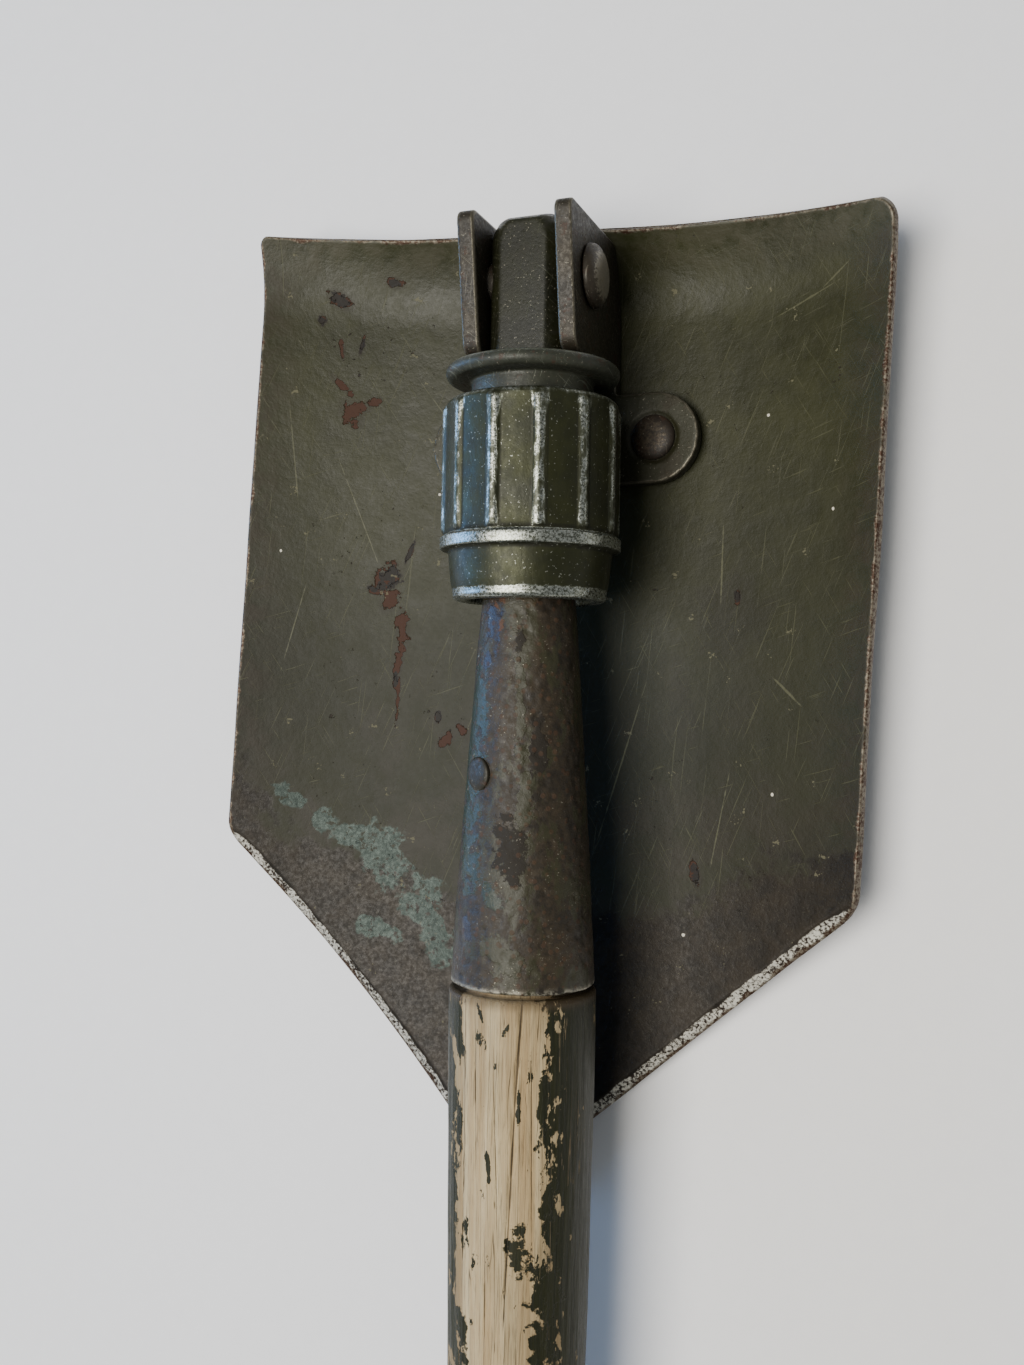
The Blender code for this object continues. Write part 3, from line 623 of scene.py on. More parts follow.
class GeometryTool(Weave):
    """A Geometry Nodes tree with named inputs, whose result is baked into a plain mesh."""

    def __init__(self, name: str, inputs: dict[str, tuple[str, object]]) -> None:
        """Start a tree.

        Args:
            name: the tree's name.
            inputs: socket type and default value by input name.
        """
        tree = bpy.data.node_groups.new(name, "GeometryNodeTree")
        super().__init__(tree)
        tree.interface.new_socket("Geometry", in_out="INPUT", socket_type="NodeSocketGeometry")
        tree.interface.new_socket("Geometry", in_out="OUTPUT", socket_type="NodeSocketGeometry")
        for title, (kind, value) in inputs.items():
            socket = tree.interface.new_socket(title, in_out="INPUT", socket_type=kind)
            if value is not None:
                socket.default_value = value
        self.source = tree.nodes.new("NodeGroupInput")
        self.sink = tree.nodes.new("NodeGroupOutput")

    def given(self, title: str) -> Socket:
        """One of the tree's named inputs."""
        return self.source.outputs[title]

    def end(self, geometry: Socket) -> None:
        """Close the tree with its real mesh and material."""
        real = self.node("GeometryNodeRealizeInstances", {0: geometry}).outputs[0]
        dressed = self.node("GeometryNodeSetMaterial", {"Geometry": real, "Material": self.given("Finish")})
        self.put(self.sink.inputs[0], dressed.outputs[0])

    def push_out(self, geometry: Socket, direction: Socket, distance: Socket) -> Socket:
        """Move each point along a direction."""
        offset = self.node("ShaderNodeVectorMath", {0: direction, "Scale": distance}, operation="SCALE")
        moved = self.node("GeometryNodeSetPosition", {"Geometry": geometry, "Offset": offset.outputs[0]})
        return moved.outputs[0]

    def read(self, mark: Mark, kind: str = "FLOAT") -> Socket:
        """A named attribute of the geometry."""
        return self.node("GeometryNodeInputNamedAttribute", {"Name": mark.value}, data_type=kind).outputs[0]

    def apply(self, piece: Piece, values: dict[str, object]) -> None:
        """Run the tree on a piece and bake the result.

        Args:
            piece: the object whose mesh the tree takes.
            values: what each named input is set to.
        """
        modifier = piece.modifiers.new(self.tree.name, "NODES")
        modifier.node_group = self.tree
        keys = {
            item.name: item.identifier
            for item in self.tree.interface.items_tree
            if item.item_type == "SOCKET" and item.in_out == "INPUT"
        }
        for title, value in values.items():
            modifier[keys[title]] = value
        bake_modifiers(piece)


def weather(piece: Piece, finish: Finish, dent: tuple, grain: tuple, pit: tuple = (0.0, 0.002)) -> None:
    """Dent, grain and pit a piece's skin and dress it.

    Args:
        piece: a dense mesh with the relief mark.
        finish: its material.
        dent: height of the dents and their size on each axis.
        grain: height of the grain and its size on each axis.
        pit: depth and size of the pits.
    """
    titles = ("Dent height", "Dent size", "Grain height", "Grain size", "Pit depth", "Pit size", "Finish")
    weathering_tool().apply(piece, dict(zip(titles, (*dent, *grain, *pit, finish))))


@lru_cache(maxsize=None)
def weathering_tool() -> GeometryTool:
    """Tree that gives a dense skin its dents, grain and pits, where the relief mark says so."""
    tool = GeometryTool("weathering", {
        "Dent height": ("NodeSocketFloat", 0.0),
        "Dent size": ("NodeSocketVector", (0.02, 0.02, 0.02)),
        "Grain height": ("NodeSocketFloat", 0.0),
        "Grain size": ("NodeSocketVector", (0.001, 0.001, 0.001)),
        "Pit depth": ("NodeSocketFloat", 0.0),
        "Pit size": ("NodeSocketFloat", 0.002),
        "Finish": ("NodeSocketMaterial", None),
    })
    place = tool.node("GeometryNodeInputPosition", {}).outputs[0]
    dents = tool.noise(tool.vector("DIVIDE", place, tool.given("Dent size")), 1.0, detail=1.0, seed=1.0)
    grain = tool.noise(tool.vector("DIVIDE", place, tool.given("Grain size")), 1.0, detail=2.0, seed=2.0)
    wide = tool.node("ShaderNodeCombineXYZ", {i: tool.given("Pit size") for i in range(3)}).outputs[0]
    cell = tool.cells(tool.vector("DIVIDE", place, wide), 1.0, seed=3.0)
    pit = tool.step(cell, 0.42, 0.12)
    height = tool.times(tool.plus(dents, -0.5), tool.given("Dent height"))
    height = tool.plus(height, tool.times(tool.plus(grain, -0.5), tool.given("Grain height")))
    height = tool.minus(height, tool.times(pit, tool.given("Pit depth")))
    normal = tool.node("GeometryNodeInputNormal", {}).outputs[0]
    moved = tool.push_out(tool.given("Geometry"), normal, tool.times(height, tool.read(Mark.RELIEF)))
    tool.end(moved)
    return tool


def rib_tool() -> GeometryTool:
    """Tree that raises even ribs with filleted feet on a turned sleeve, and flattens the panels between."""
    tool = GeometryTool("sleeve_ribs", {
        "Ribs": ("NodeSocketInt", 12),
        "First rib": ("NodeSocketFloat", 0.0),
        "Radius": ("NodeSocketFloat", 0.019),
        "Height": ("NodeSocketFloat", 0.0007),
        "Half width": ("NodeSocketFloat", 0.0007),
        "Fillet": ("NodeSocketFloat", 0.0008),
        "Panel flatness": ("NodeSocketFloat", 0.8),
        "Waver": ("NodeSocketFloat", 0.0001),
        "Finish": ("NodeSocketMaterial", None),
    })
    place = tool.node("GeometryNodeInputPosition", {}).outputs[0]
    local = tool.vector("SUBTRACT", place, tuple(PIVOT))
    across, _, up = tool.parts(local)
    angle = tool.math("ARCTAN2", across, up)
    step = tool.over(2 * math.pi, tool.given("Ribs"))
    turn = tool.minus(angle, tool.given("First rib"))
    nearest = tool.times(tool.math("ROUND", tool.over(turn, step)), step)
    off_rib = tool.magnitude(tool.minus(turn, nearest))
    waver = tool.plus(tool.noise(place, 0.0022, detail=2.0, seed=4.0), -0.5)
    arc = tool.plus(tool.times(off_rib, tool.given("Radius")), tool.times(waver, tool.given("Waver")))
    foot = tool.plus(tool.given("Half width"), tool.given("Fillet"))
    slope = tool.node("ShaderNodeMapRange", {
        "Value": arc, "From Min": tool.given("Half width"), "From Max": foot, "To Min": 1.0, "To Max": 0.0,
    }, interpolation_type="SMOOTHSTEP").outputs[0]
    crown = tool.over(arc, tool.given("Half width"))
    crown = tool.math("MINIMUM", tool.times(crown, crown), 1.0)
    rib = tool.times(slope, tool.minus(1.0, tool.times(crown, 0.22)))
    off_panel = tool.minus(tool.times(step, 0.5), off_rib)
    chord = tool.math("COSINE", tool.minus(tool.times(step, 0.5), 0.07))
    flat = tool.minus(tool.over(chord, tool.math("COSINE", off_panel)), 1.0)
    flat = tool.times(tool.times(flat, tool.given("Radius")), tool.given("Panel flatness"))
    flat = tool.times(flat, tool.minus(1.0, slope))
    height = tool.plus(tool.times(rib, tool.given("Height")), flat)
    height = tool.times(height, tool.read(Mark.RELIEF))
    outward = tool.vector("NORMALIZE", tool.vector("MULTIPLY", local, (1.0, 0.0, 1.0)), (0.0, 0.0, 0.0))
    tool.end(tool.push_out(tool.given("Geometry"), outward, height))
    return tool


def rivet_tool() -> GeometryTool:
    """Tree that stands a copy of a rivet on each point, along the point's own direction."""
    tool = GeometryTool("rivets_on_points", {
        "Rivet": ("NodeSocketObject", None),
        "Finish": ("NodeSocketMaterial", None),
    })
    stand = tool.read(Mark.NORMAL, "FLOAT_VECTOR")
    turn = tool.node("FunctionNodeAlignRotationToVector", {"Vector": stand}, axis="Z").outputs[0]
    rivet = tool.node("GeometryNodeObjectInfo", {"Object": tool.given("Rivet")}, transform_space="ORIGINAL")
    inputs = {"Points": tool.given("Geometry"), "Instance": rivet.outputs["Geometry"], "Rotation": turn}
    tool.end(tool.node("GeometryNodeInstanceOnPoints", inputs).outputs[0])
    return tool


# ---------------------------------------------------------------- finishes


def linear(*shade: int) -> tuple[float, float, float]:
    """Linear colour of a shade given as 0 to 255 display values."""
    return tuple(((s / 255 + 0.055) / 1.055) ** 2.4 if s > 10 else s / 3294.6 for s in shade)


@dataclass(frozen=True)
class Ground:
    """What the blade's coats are measured by: places, distance from the rim, and three noises."""

    own: Socket
    across: Socket
    along: Socket
    rim: Socket
    cloud: Socket
    mottle: Socket
    fine: Socket


@dataclass(frozen=True)
class OlivePaint:
    """Service-worn olive paint on the blade, down to primer, rust and bare steel.

    Each lay method adds some coats to the finish it is given, over the blade's ground.
    """

    light: tuple = linear(49, 50, 26)
    dark: tuple = linear(38, 39, 20)
    primer: tuple = linear(62, 36, 25)
    rust: tuple = linear(58, 38, 24)
    deep_rust: tuple = linear(34, 26, 18)
    steel: tuple = linear(206, 203, 190)
    bare_blue: tuple = linear(38, 47, 43)
    dust: tuple = linear(120, 116, 92)
    soot: tuple = linear(18, 18, 15)
    grease: tuple = linear(34, 30, 22)
    # Colour of the painted shade towards the point.
    painted_low_shade: tuple = linear(25, 26, 13)
    earth_film: tuple = linear(38, 32, 22)
    edge_stain: tuple = linear(42, 33, 24)
    scratch: tuple = linear(76, 76, 54)
    score: tuple = linear(84, 84, 62)
    scoured_dark: tuple = linear(25, 20, 14)
    scoured_light: tuple = linear(38, 31, 21)
    grit: tuple = linear(66, 63, 50)
    ground: tuple = linear(44, 35, 28)
    worn_line: tuple = linear(112, 104, 90)
    rub: tuple = linear(80, 80, 62)
    pale_speck: tuple = linear(210, 205, 190)
    skew: float = math.radians(-3.1)
    primer_chips: tuple = spots(
        (-53.6, -24.6, 2.9, 2.0, 25), (-48.5, -21.9, 1.6, 0.9, -60), (-51.2, -23.0, 1.6, 0.8, 60),
        (-54.5, -19.9, 1.0, 0.6, 30), (-56.6, -17.8, 2.6, 0.7, 48), (-56.9, -9.2, 1.9, 0.5, 8),
        (-41.2, -70.8, 2.6, 1.5, -30), (-37.6, -77.9, 3.6, 1.3, 6), (-38.1, -85.4, 3.4, 0.9, -4),
        (-37.7, -95.0, 5.0, 0.5, 0), (-24.8, -104.2, 2.2, 1.2, -50), (-20.6, -101.4, 1.8, 0.9, 40),
    )
    dark_chips: tuple = spots(
        (-42.2, -65.4, 3.4, 2.2, -35), (-45.2, -68.4, 1.5, 0.9, 70), (-37.0, -58.5, 2.6, 0.5, -20),
        (-52.2, -7.7, 2.1, 0.4, -10), (-57.8, 3.0, 2.4, 1.5, 60), (-44.1, 7.4, 1.8, 1.0, 80),
        (-62.0, -2.1, 1.2, 0.8, 0), (-27.2, -98.9, 1.2, 0.8, 0), (39.9, -129.3, 2.4, 1.0, 15),
        (-38.6, -90.0, 2.2, 0.6, 4), (45.6, -66.2, 1.3, 0.6, 0),
    )
    bare_patches: tuple = spots(
        (-47.5, -129.0, 9.0, 4.0, 62), (-37.9, -135.0, 9.0, 5.2, 55), (-28.5, -142.0, 9.0, 5.0, 50),
        (-24.0, -151.0, 8.5, 4.4, 20), (-38.5, -152.0, 6.0, 2.4, 75), (-15.0, -158.0, 7.0, 3.0, 40),
        (-62.0, -121.0, 6.0, 2.2, 60),
    )
    islands: tuple = spots(
        (-31.8, -131.9, 3.4, 1.6, 40), (-25.0, -136.1, 2.4, 1.4, 70), (-31.5, -150.3, 3.6, 1.6, 70),
        (-41.0, -141.0, 2.6, 1.0, 60), (-20.5, -149.0, 2.8, 1.0, 30),
    )
    stains: tuple = spots(
        (45.4, -71.4, 7.6, 9.2, 5), (64.1, -124.4, 13.0, 8.0, -30), (33.5, -90.2, 9.0, 3.0, 20),
    )
    specks: tuple = spots(
        (49.9, -25.8, 0.35, 0.3), (56.7, -109.2, 0.4, 0.3), (38.1, -143.1, 0.35, 0.35),
        (-68.2, -60.1, 0.35, 0.25), (-30.5, -44.0, 0.3, 0.3), (66.0, -47.0, 0.35, 0.25),
    )
    scores: tuple = spots(
        (56.0, -1.6, 7.2, 0.16, -66), (63.6, 3.4, 3.4, 0.14, -50), (20.0, -106.4, 16.2, 0.16, -14),
        (58.6, -86.7, 3.9, 0.22, 50), (44.8, -116.8, 9.8, 0.16, -8), (41.3, -58.0, 8.0, 0.16, 2),
        (-50.0, -50.0, 13.0, 0.12, 24), (-64.0, -78.0, 10.0, 0.12, -12), (-30.0, -25.0, 9.0, 0.1, 40),
        (-66.5, -36.5, 12.0, 0.13, 8),
    )

    def build(self, name: str) -> Finish:
        """Lay the coats, from steel up to dust.

        Args:
            name: the material's name.

        Returns:
            The finished material.
        """
        coats = Coats(name, self.dark, 0.5, 0.28)
        own = coats.centred(self.skew)
        across, along, _ = coats.parts(own)
        cloud = coats.grain(0.045, detail=4.0, rough=0.6, seed=1.0)
        mottle = coats.grain(0.006, detail=5.0, rough=0.65, seed=2.0)
        fine = coats.grain(0.0011, detail=4.0, rough=0.7, seed=3.0)
        by = Ground(own, across, along, coats.mark(Mark.RIM), cloud, mottle, fine)
        tone = coats.step(coats.weighted(cloud, 0.6, mottle, 0.4), 0.36, 0.64)
        coats.colour = coats.blend(tone, self.dark, self.light)
        coats.roughness = coats.spread(coats.weighted(mottle, 0.6, fine, 0.4), 0.36, 0.52)
        coats.raise_by(fine, 0.00005)
        coats.raise_by(mottle, 0.00022)
        for lay in (
            self.lay_stains, self.lay_scratches, self.lay_chips, self.lay_lower_wear, self.lay_edges,
            self.lay_dust,
        ):
            lay(coats, by)
        return coats.done()

    def lay_stains(self, coats: Coats, by: Ground) -> None:
        """Brown grease stains, darker stains towards the edges, and a painted shade that darkens the paint
        towards the point.
        """
        stain = coats.ragged(by.own, self.stains, 0.007, 3.0, 5.0, soft=0.35)
        coats.cover(stain, self.grease, 0.42, share=0.42)
        # Painted shade: darker, rougher paint towards the point, standing in for light that falls off down
        # the blade.
        painted_low_shade = coats.times(coats.step(by.along, -0.010, -0.105), 0.62)
        coats.cover(painted_low_shade, self.painted_low_shade, 0.64)
        low = coats.step(by.along, -0.060, -0.150)
        patchy = coats.patches(0.42, 0.66, 0.014, detail=5.0, rough=0.62, seed=6.0)
        coats.cover(coats.times(low, patchy), self.earth_film, 0.5, share=0.7)
        near = coats.times(coats.step(by.rim, 0.012, 0.001), coats.step(by.mottle, 0.38, 0.62))
        coats.cover(near, self.edge_stain, 0.5, share=0.5)

    def lay_scratches(self, coats: Coats, by: Ground) -> None:
        """Fine scratches every way, some long ones and the named scores."""
        for index, (turn, share, width, length) in enumerate((
            (0.35, 0.66, 0.00035, 0.020), (-0.6, 0.675, 0.0003, 0.014), (1.2, 0.68, 0.0004, 0.012),
            (0.05, 0.685, 0.0005, 0.034),
        )):
            size = (width, length, 0.02)
            lines = coats.striped(by.own, (0.0, 0.0, turn), size, rough=0.6, seed=11.0 + index)
            scratch = coats.step(lines, share, share + 0.03)
            coats.cover(scratch, self.scratch, 0.5, lift=-0.00002, share=0.5)
        score = coats.ragged(by.own, self.scores, 0.0022, 3.0, 21.0, soft=0.4)
        coats.cover(score, self.score, 0.45, share=0.7)

    def lay_chips(self, coats: Coats, by: Ground) -> None:
        """Chips through to primer, rust and black scale."""
        halo = coats.ragged(by.own, self.primer_chips + self.dark_chips, 0.0024, 4.2, 31.0, soft=0.10)
        wide = coats.step(coats.spots(by.own, self.primer_chips + self.dark_chips), 1.9, 1.1)
        coats.cover(wide, self.deep_rust, 0.55, share=0.35)
        coats.cover(halo, coats.blend(by.fine, self.primer, self.rust), 0.7, lift=-0.00016)
        dark = coats.ragged(by.own, self.dark_chips, 0.0020, 4.0, 32.0, soft=0.1)
        coats.cover(dark, coats.blend(by.fine, self.soot, self.deep_rust), 0.62)
        stray = coats.grain(0.0024, detail=4.0, rough=0.7, seed=33.0)
        region = coats.patches(0.48, 0.62, 0.03, detail=2.0, seed=34.0)
        chips = coats.times(coats.step(stray, 0.665, 0.69), region)
        coats.cover(chips, self.deep_rust, 0.65, lift=-0.0001)

    def lay_lower_wear(self, coats: Coats, by: Ground) -> None:
        """Brown, scoured point with patches of bare blued steel."""
        reach = coats.torn(by.along, by.cloud, 0.05)
        reach = coats.torn(reach, by.mottle, 0.024)
        side = coats.times(coats.magnitude(by.across), -0.32)
        scoured = coats.step(coats.plus(reach, side), -0.141, -0.147)
        brown = coats.blend(coats.step(by.mottle, 0.35, 0.65), self.scoured_dark, self.scoured_light)
        coats.cover(scoured, brown, coats.spread(by.fine, 0.36, 0.6), 0.15, share=0.9)
        bare = coats.ragged(by.own, self.bare_patches, 0.0075, 4.0, 41.0, soft=0.14)
        holes = coats.ragged(by.own, self.islands, 0.004, 3.6, 42.0, soft=0.12)
        pits = coats.patches(0.56, 0.62, 0.002, detail=4.0, rough=0.7, seed=43.0)
        kept = coats.times(coats.times(bare, coats.minus(1.0, holes)), coats.minus(1.0, pits))
        coats.cover(kept, self.bare_blue, coats.spread(by.fine, 0.3, 0.5), 0.5)
        grit = coats.patches(0.63, 0.68, 0.0006, detail=2.0, rough=0.7, seed=44.0)
        coats.cover(coats.times(grit, scoured), self.grit, 0.4, share=0.4)

    def lay_edges(self, coats: Coats, by: Ground) -> None:
        """Ground bevel with bright specks, and a worn line along the other edges."""
        bevel = coats.mark(Mark.BARE)
        speck = coats.grain(0.0007, detail=4.0, rough=0.7, seed=51.0)
        bright = coats.step(coats.weighted(speck, 0.7, by.mottle, 0.3), 0.44, 0.56)
        ground = coats.blend(bright, self.ground, self.steel)
        torn = coats.step(coats.torn(bevel, by.mottle, 0.7), 0.42, 0.56)
        coats.cover(torn, ground, coats.spread(by.fine, 0.3, 0.55), 0.35)
        worn = coats.step(coats.torn(by.rim, by.mottle, 0.0032), 0.0007, 0.0002)
        coats.cover(worn, coats.blend(bright, self.rust, self.worn_line), 0.45, 0.4)
        fold = coats.mark(Mark.WORN)
        rub = coats.times(fold, coats.step(by.mottle, 0.36, 0.6))
        coats.cover(rub, self.rub, 0.36, share=0.3)

    def lay_dust(self, coats: Coats, by: Ground) -> None:
        """Pale dust specks, scattered and named."""
        cell = coats.cells(coats.place, 0.0075, seed=61.0)
        speck = coats.step(coats.plus(cell, coats.grain(0.0008, seed=62.0)), 0.54, 0.49)
        coats.cover(speck, self.dust, 0.8, share=0.5)
        named = coats.ragged(by.own, self.specks, 0.0008, 1.6, 63.0, soft=0.2)
        coats.cover(named, self.pale_speck, 0.8)


@dataclass(frozen=True)
class BrownedSteel:
    """Worn dark paint over browned steel, with bright high edges."""

    base: tuple = linear(34, 30, 21)
    light: tuple = linear(48, 43, 33)
    worn: tuple = linear(86, 82, 70)
    rust: tuple = linear(62, 42, 30)
    glint: tuple = linear(120, 116, 102)
    rough: float = 0.5
    shine: float = 0.35
    grain: float = 0.00005
    edge: float = 0.5
    seed: float = 1.0
    bar_paint: Optional[tuple] = None

    def build(self, name: str) -> Finish:
        """Lay the coats.

        Args:
            name: the material's name.

        Returns:
            The finished material.
        """
        coats = Coats(name, self.base, self.rough, 0.35)
        cloud = coats.grain(0.009, detail=5.0, rough=0.65, seed=self.seed)
        fine = coats.grain(0.0008, detail=4.0, rough=0.7, seed=self.seed + 1)
        coats.colour = coats.blend(coats.step(cloud, 0.36, 0.64), self.base, self.light)
        coats.roughness = coats.spread(fine, self.rough - 0.12, self.rough + 0.14)
        coats.metallic = coats.step(cloud, 0.4, 0.7, (self.shine * 0.3, self.shine))
        coats.raise_by(fine, self.grain)
        coats.raise_by(cloud, self.grain * 2)
        patch = coats.patches(0.57, 0.63, 0.0035, detail=5.0, rough=0.7, seed=self.seed + 2)
        coats.cover(patch, self.rust, 0.66, share=0.6)
        for index, turn in enumerate((0.3, -0.9)):
            size = (0.00025, 0.009, 0.009)
            lines = coats.striped(coats.place, (0.4, 0.2, turn), size, seed=self.seed + 4 + index)
            coats.cover(coats.step(lines, 0.66, 0.69), self.worn, 0.4, lift=-0.00002, share=0.6)
        if self.bar_paint is not None:
            along = coats.parts(coats.centred())[1]
            thick = coats.step(cloud, 0.62, 0.5, (0.45, 0.95))
            painted = coats.times(coats.step(along, -0.0185, -0.0215), thick)
            coats.cover(painted, self.bar_paint, 0.46)
        edge = coats.mark(Mark.WORN)
        ragged = coats.torn(edge, fine, 0.9)
        bright = coats.step(ragged, self.edge, self.edge + 0.2)
        coats.cover(bright, self.worn, 0.36, 0.6, share=0.85)
        speck = coats.patches(0.70, 0.74, 0.0005, detail=1.0, seed=self.seed + 8)
        coats.cover(speck, self.glint, 0.5, share=0.7)
        return coats.done()


@dataclass(frozen=True)
class NutFinish:
    """Painted alloy, bare on the ribs, the band and the lower rim."""

    paint: tuple = linear(50, 52, 31)
    shade: tuple = linear(37, 39, 23)
    bare: tuple = linear(176, 180, 172)
    dull: tuple = linear(96, 99, 86)
    # Dark grime colour, also used for the painted shade in the creases.
    grime_and_crease_shade: tuple = linear(28, 28, 21)
    glint: tuple = linear(150, 152, 142)

    def build(self, name: str) -> Finish:
        """Lay paint, wear, grime and a painted shade in the creases.

        Args:
            name: the material's name.

        Returns:
            The finished material.
        """
        coats = Coats(name, self.paint, 0.45, 0.35)
        cloud = coats.grain(0.007, detail=5.0, rough=0.62, seed=1.0)
        mid = coats.grain((0.0016, 0.0034, 0.0016), detail=4.0, rough=0.65, seed=2.0)
        fine = coats.grain(0.0005, detail=3.0, rough=0.7, seed=3.0)
        coats.colour = coats.blend(coats.step(cloud, 0.35, 0.65), self.shade, self.paint)
        coats.roughness = coats.spread(mid, 0.34, 0.52)
        coats.metallic = coats.spread(cloud, 0.3, 0.5)
        coats.raise_by(fine, 0.00003)
        coats.raise_by(mid, 0.00007)
        # Painted shade: grime-coloured darkening at the rib feet and just over and under the band, where
        # shade falls in the creases.
        grime_and_crease_shade = coats.step(coats.mark(Mark.RIM), 0.35, 0.9)
        coats.cover(coats.times(grime_and_crease_shade, coats.step(mid, 0.35, 0.6, (0.35, 0.8))), self.grime_and_crease_shade, 0.6)
        wear = coats.mark(Mark.BARE)
        ragged = coats.torn(wear, mid, 1.15)
        thin = coats.step(ragged, 0.36, 0.62)
        coats.cover(thin, self.dull, 0.4, 0.7, lift=-0.00003, share=0.75)
        bare = coats.step(ragged, 0.54, 0.66)
        metal = coats.blend(coats.step(fine, 0.38, 0.62), self.dull, self.bare)
        coats.cover(bare, metal, coats.spread(fine, 0.2, 0.4), 0.9, lift=-0.00003)
        lines = coats.grain((0.0028, 0.00018, 0.0028), detail=2.0, seed=5.0)
        coats.cover(coats.times(coats.step(lines, 0.62, 0.66), coats.times(thin, 0.5)), self.grime_and_crease_shade, 0.5)
        speck = coats.patches(0.69, 0.73, 0.00055, detail=1.0, seed=6.0)
        coats.cover(speck, self.glint, 0.35, 0.6, share=0.55)
        return coats.done()


@dataclass(frozen=True)
class FerruleFinish:
    """Pitted rust with the remains of olive and dark green paint."""

    rust: tuple = linear(52, 43, 28)
    deep: tuple = linear(30, 25, 16)
    orange: tuple = linear(76, 50, 30)
    olive: tuple = linear(46, 46, 26)
    green: tuple = linear(26, 35, 25)
    bare: tuple = linear(44, 42, 46)
    glint: tuple = linear(168, 164, 148)
    olive_pale: tuple = linear(46, 45, 30)
    green_pale: tuple = linear(44, 54, 40)
    radius: float = 12.6
    orange_spots: tuple = spots(
        (-1.5, -66.5, 4.0, 5.2, 20), (4.0, -70.0, 2.4, 2.6, 0), (-4.5, -74.0, 3.4, 1.4, 20),
    )
    bare_spots: tuple = spots(
        (-5.6, -76.0, 6.0, 2.2, 10), (-7.5, -141.0, 3.0, 1.4, 10), (-6.5, -84.0, 2.4, 1.2, 0),
    )
    green_spots: tuple = spots(
        (-9.0, -93.0, 9.0, 3.4, 8), (-10.0, -110.0, 12.0, 4.2, 0), (-8.0, -127.0, 6.0, 3.2, 10),
        (-2.0, -134.0, 2.6, 2.0, 40), (-14.0, -100.0, 16.0, 4.0, 0),
    )
    olive_spots: tuple = spots(
        (2.9, -93.5, 11.5, 1.2, 3), (4.4, -112.0, 8.0, 1.6, 0), (0.5, -146.0, 4.0, 2.6, 60),
    )
    deep_spots: tuple = spots(
        (1.8, -124.0, 5.2, 2.8, 12), (2.5, -80.0, 3.0, 1.3, 0), (7.0, -104.0, 7.0, 1.6, 0),
    )

    def build(self, name: str) -> Finish:
        """Lay rust, paint patches and bare points.

        Args:
            name: the material's name.

        Returns:
            The finished material.
        """
        coats = Coats(name, self.rust, 0.6, 0.4)
        wrapped = coats.wrapped(self.radius)[2]
        cloud = coats.grain(0.008, detail=5.0, rough=0.65, seed=1.0)
        mid = coats.grain(0.0018, detail=5.0, rough=0.7, seed=2.0)
        fine = coats.grain(0.0005, detail=3.0, rough=0.7, seed=3.0)
        blend = coats.weighted(cloud, 0.5, mid, 0.5)
        coats.colour = coats.blend(coats.step(blend, 0.38, 0.62), self.deep, self.rust)
        coats.roughness = coats.spread(mid, 0.42, 0.72)
        coats.raise_by(mid, 0.00018)
        coats.raise_by(fine, 0.00006)
        self.patch(coats, wrapped, self.orange_spots, self.orange, 11.0, 0.7)
        olive = coats.blend(mid, self.olive, self.olive_pale)
        self.patch(coats, wrapped, self.olive_spots, olive, 12.0, 0.5)
        stray = coats.grain((0.006, 0.012, 0.006), detail=5.0, rough=0.7, seed=13.0)
        coats.cover(coats.step(stray, 0.51, 0.58), self.olive, 0.45, share=0.75)
        green = coats.blend(mid, self.green, self.green_pale)
        self.patch(coats, wrapped, self.green_spots, green, 14.0, 0.42)
        self.patch(coats, wrapped, self.deep_spots, self.deep, 15.0, 0.75)
        self.patch(coats, wrapped, self.bare_spots, self.bare, 16.0, 0.4, 0.3)
        blister = coats.step(coats.cells(coats.place, 0.0021, seed=17.0), 0.30, 0.22)
        coats.cover(blister, self.orange, 0.8, lift=0.00006, share=0.35)
        point = coats.plus(coats.step(mid, 0.55, 0.75), coats.step(fine, 0.5, 0.72))
        high = coats.times(coats.step(point, 0.75, 1.1), coats.step(cloud, 0.42, 0.6))
        coats.cover(high, self.glint, 0.3, 0.7, share=0.8)
        coats.cover(coats.times(coats.mark(Mark.WORN), coats.step(mid, 0.4, 0.6)), self.glint, 0.35, 0.7)
        return coats.done()

    def patch(
        self, coats: Coats, wrapped: Socket, spots: tuple, colour: Shade, seed: float, rough: float,
        metallic: Optional[float] = None,
    ) -> None:
        """Lay one torn patch of colour."""
        mask = coats.ragged(wrapped, spots, 0.0034, 4.0, seed, soft=0.12)
        coats.cover(mask, colour, rough, metallic, lift=0.00005)


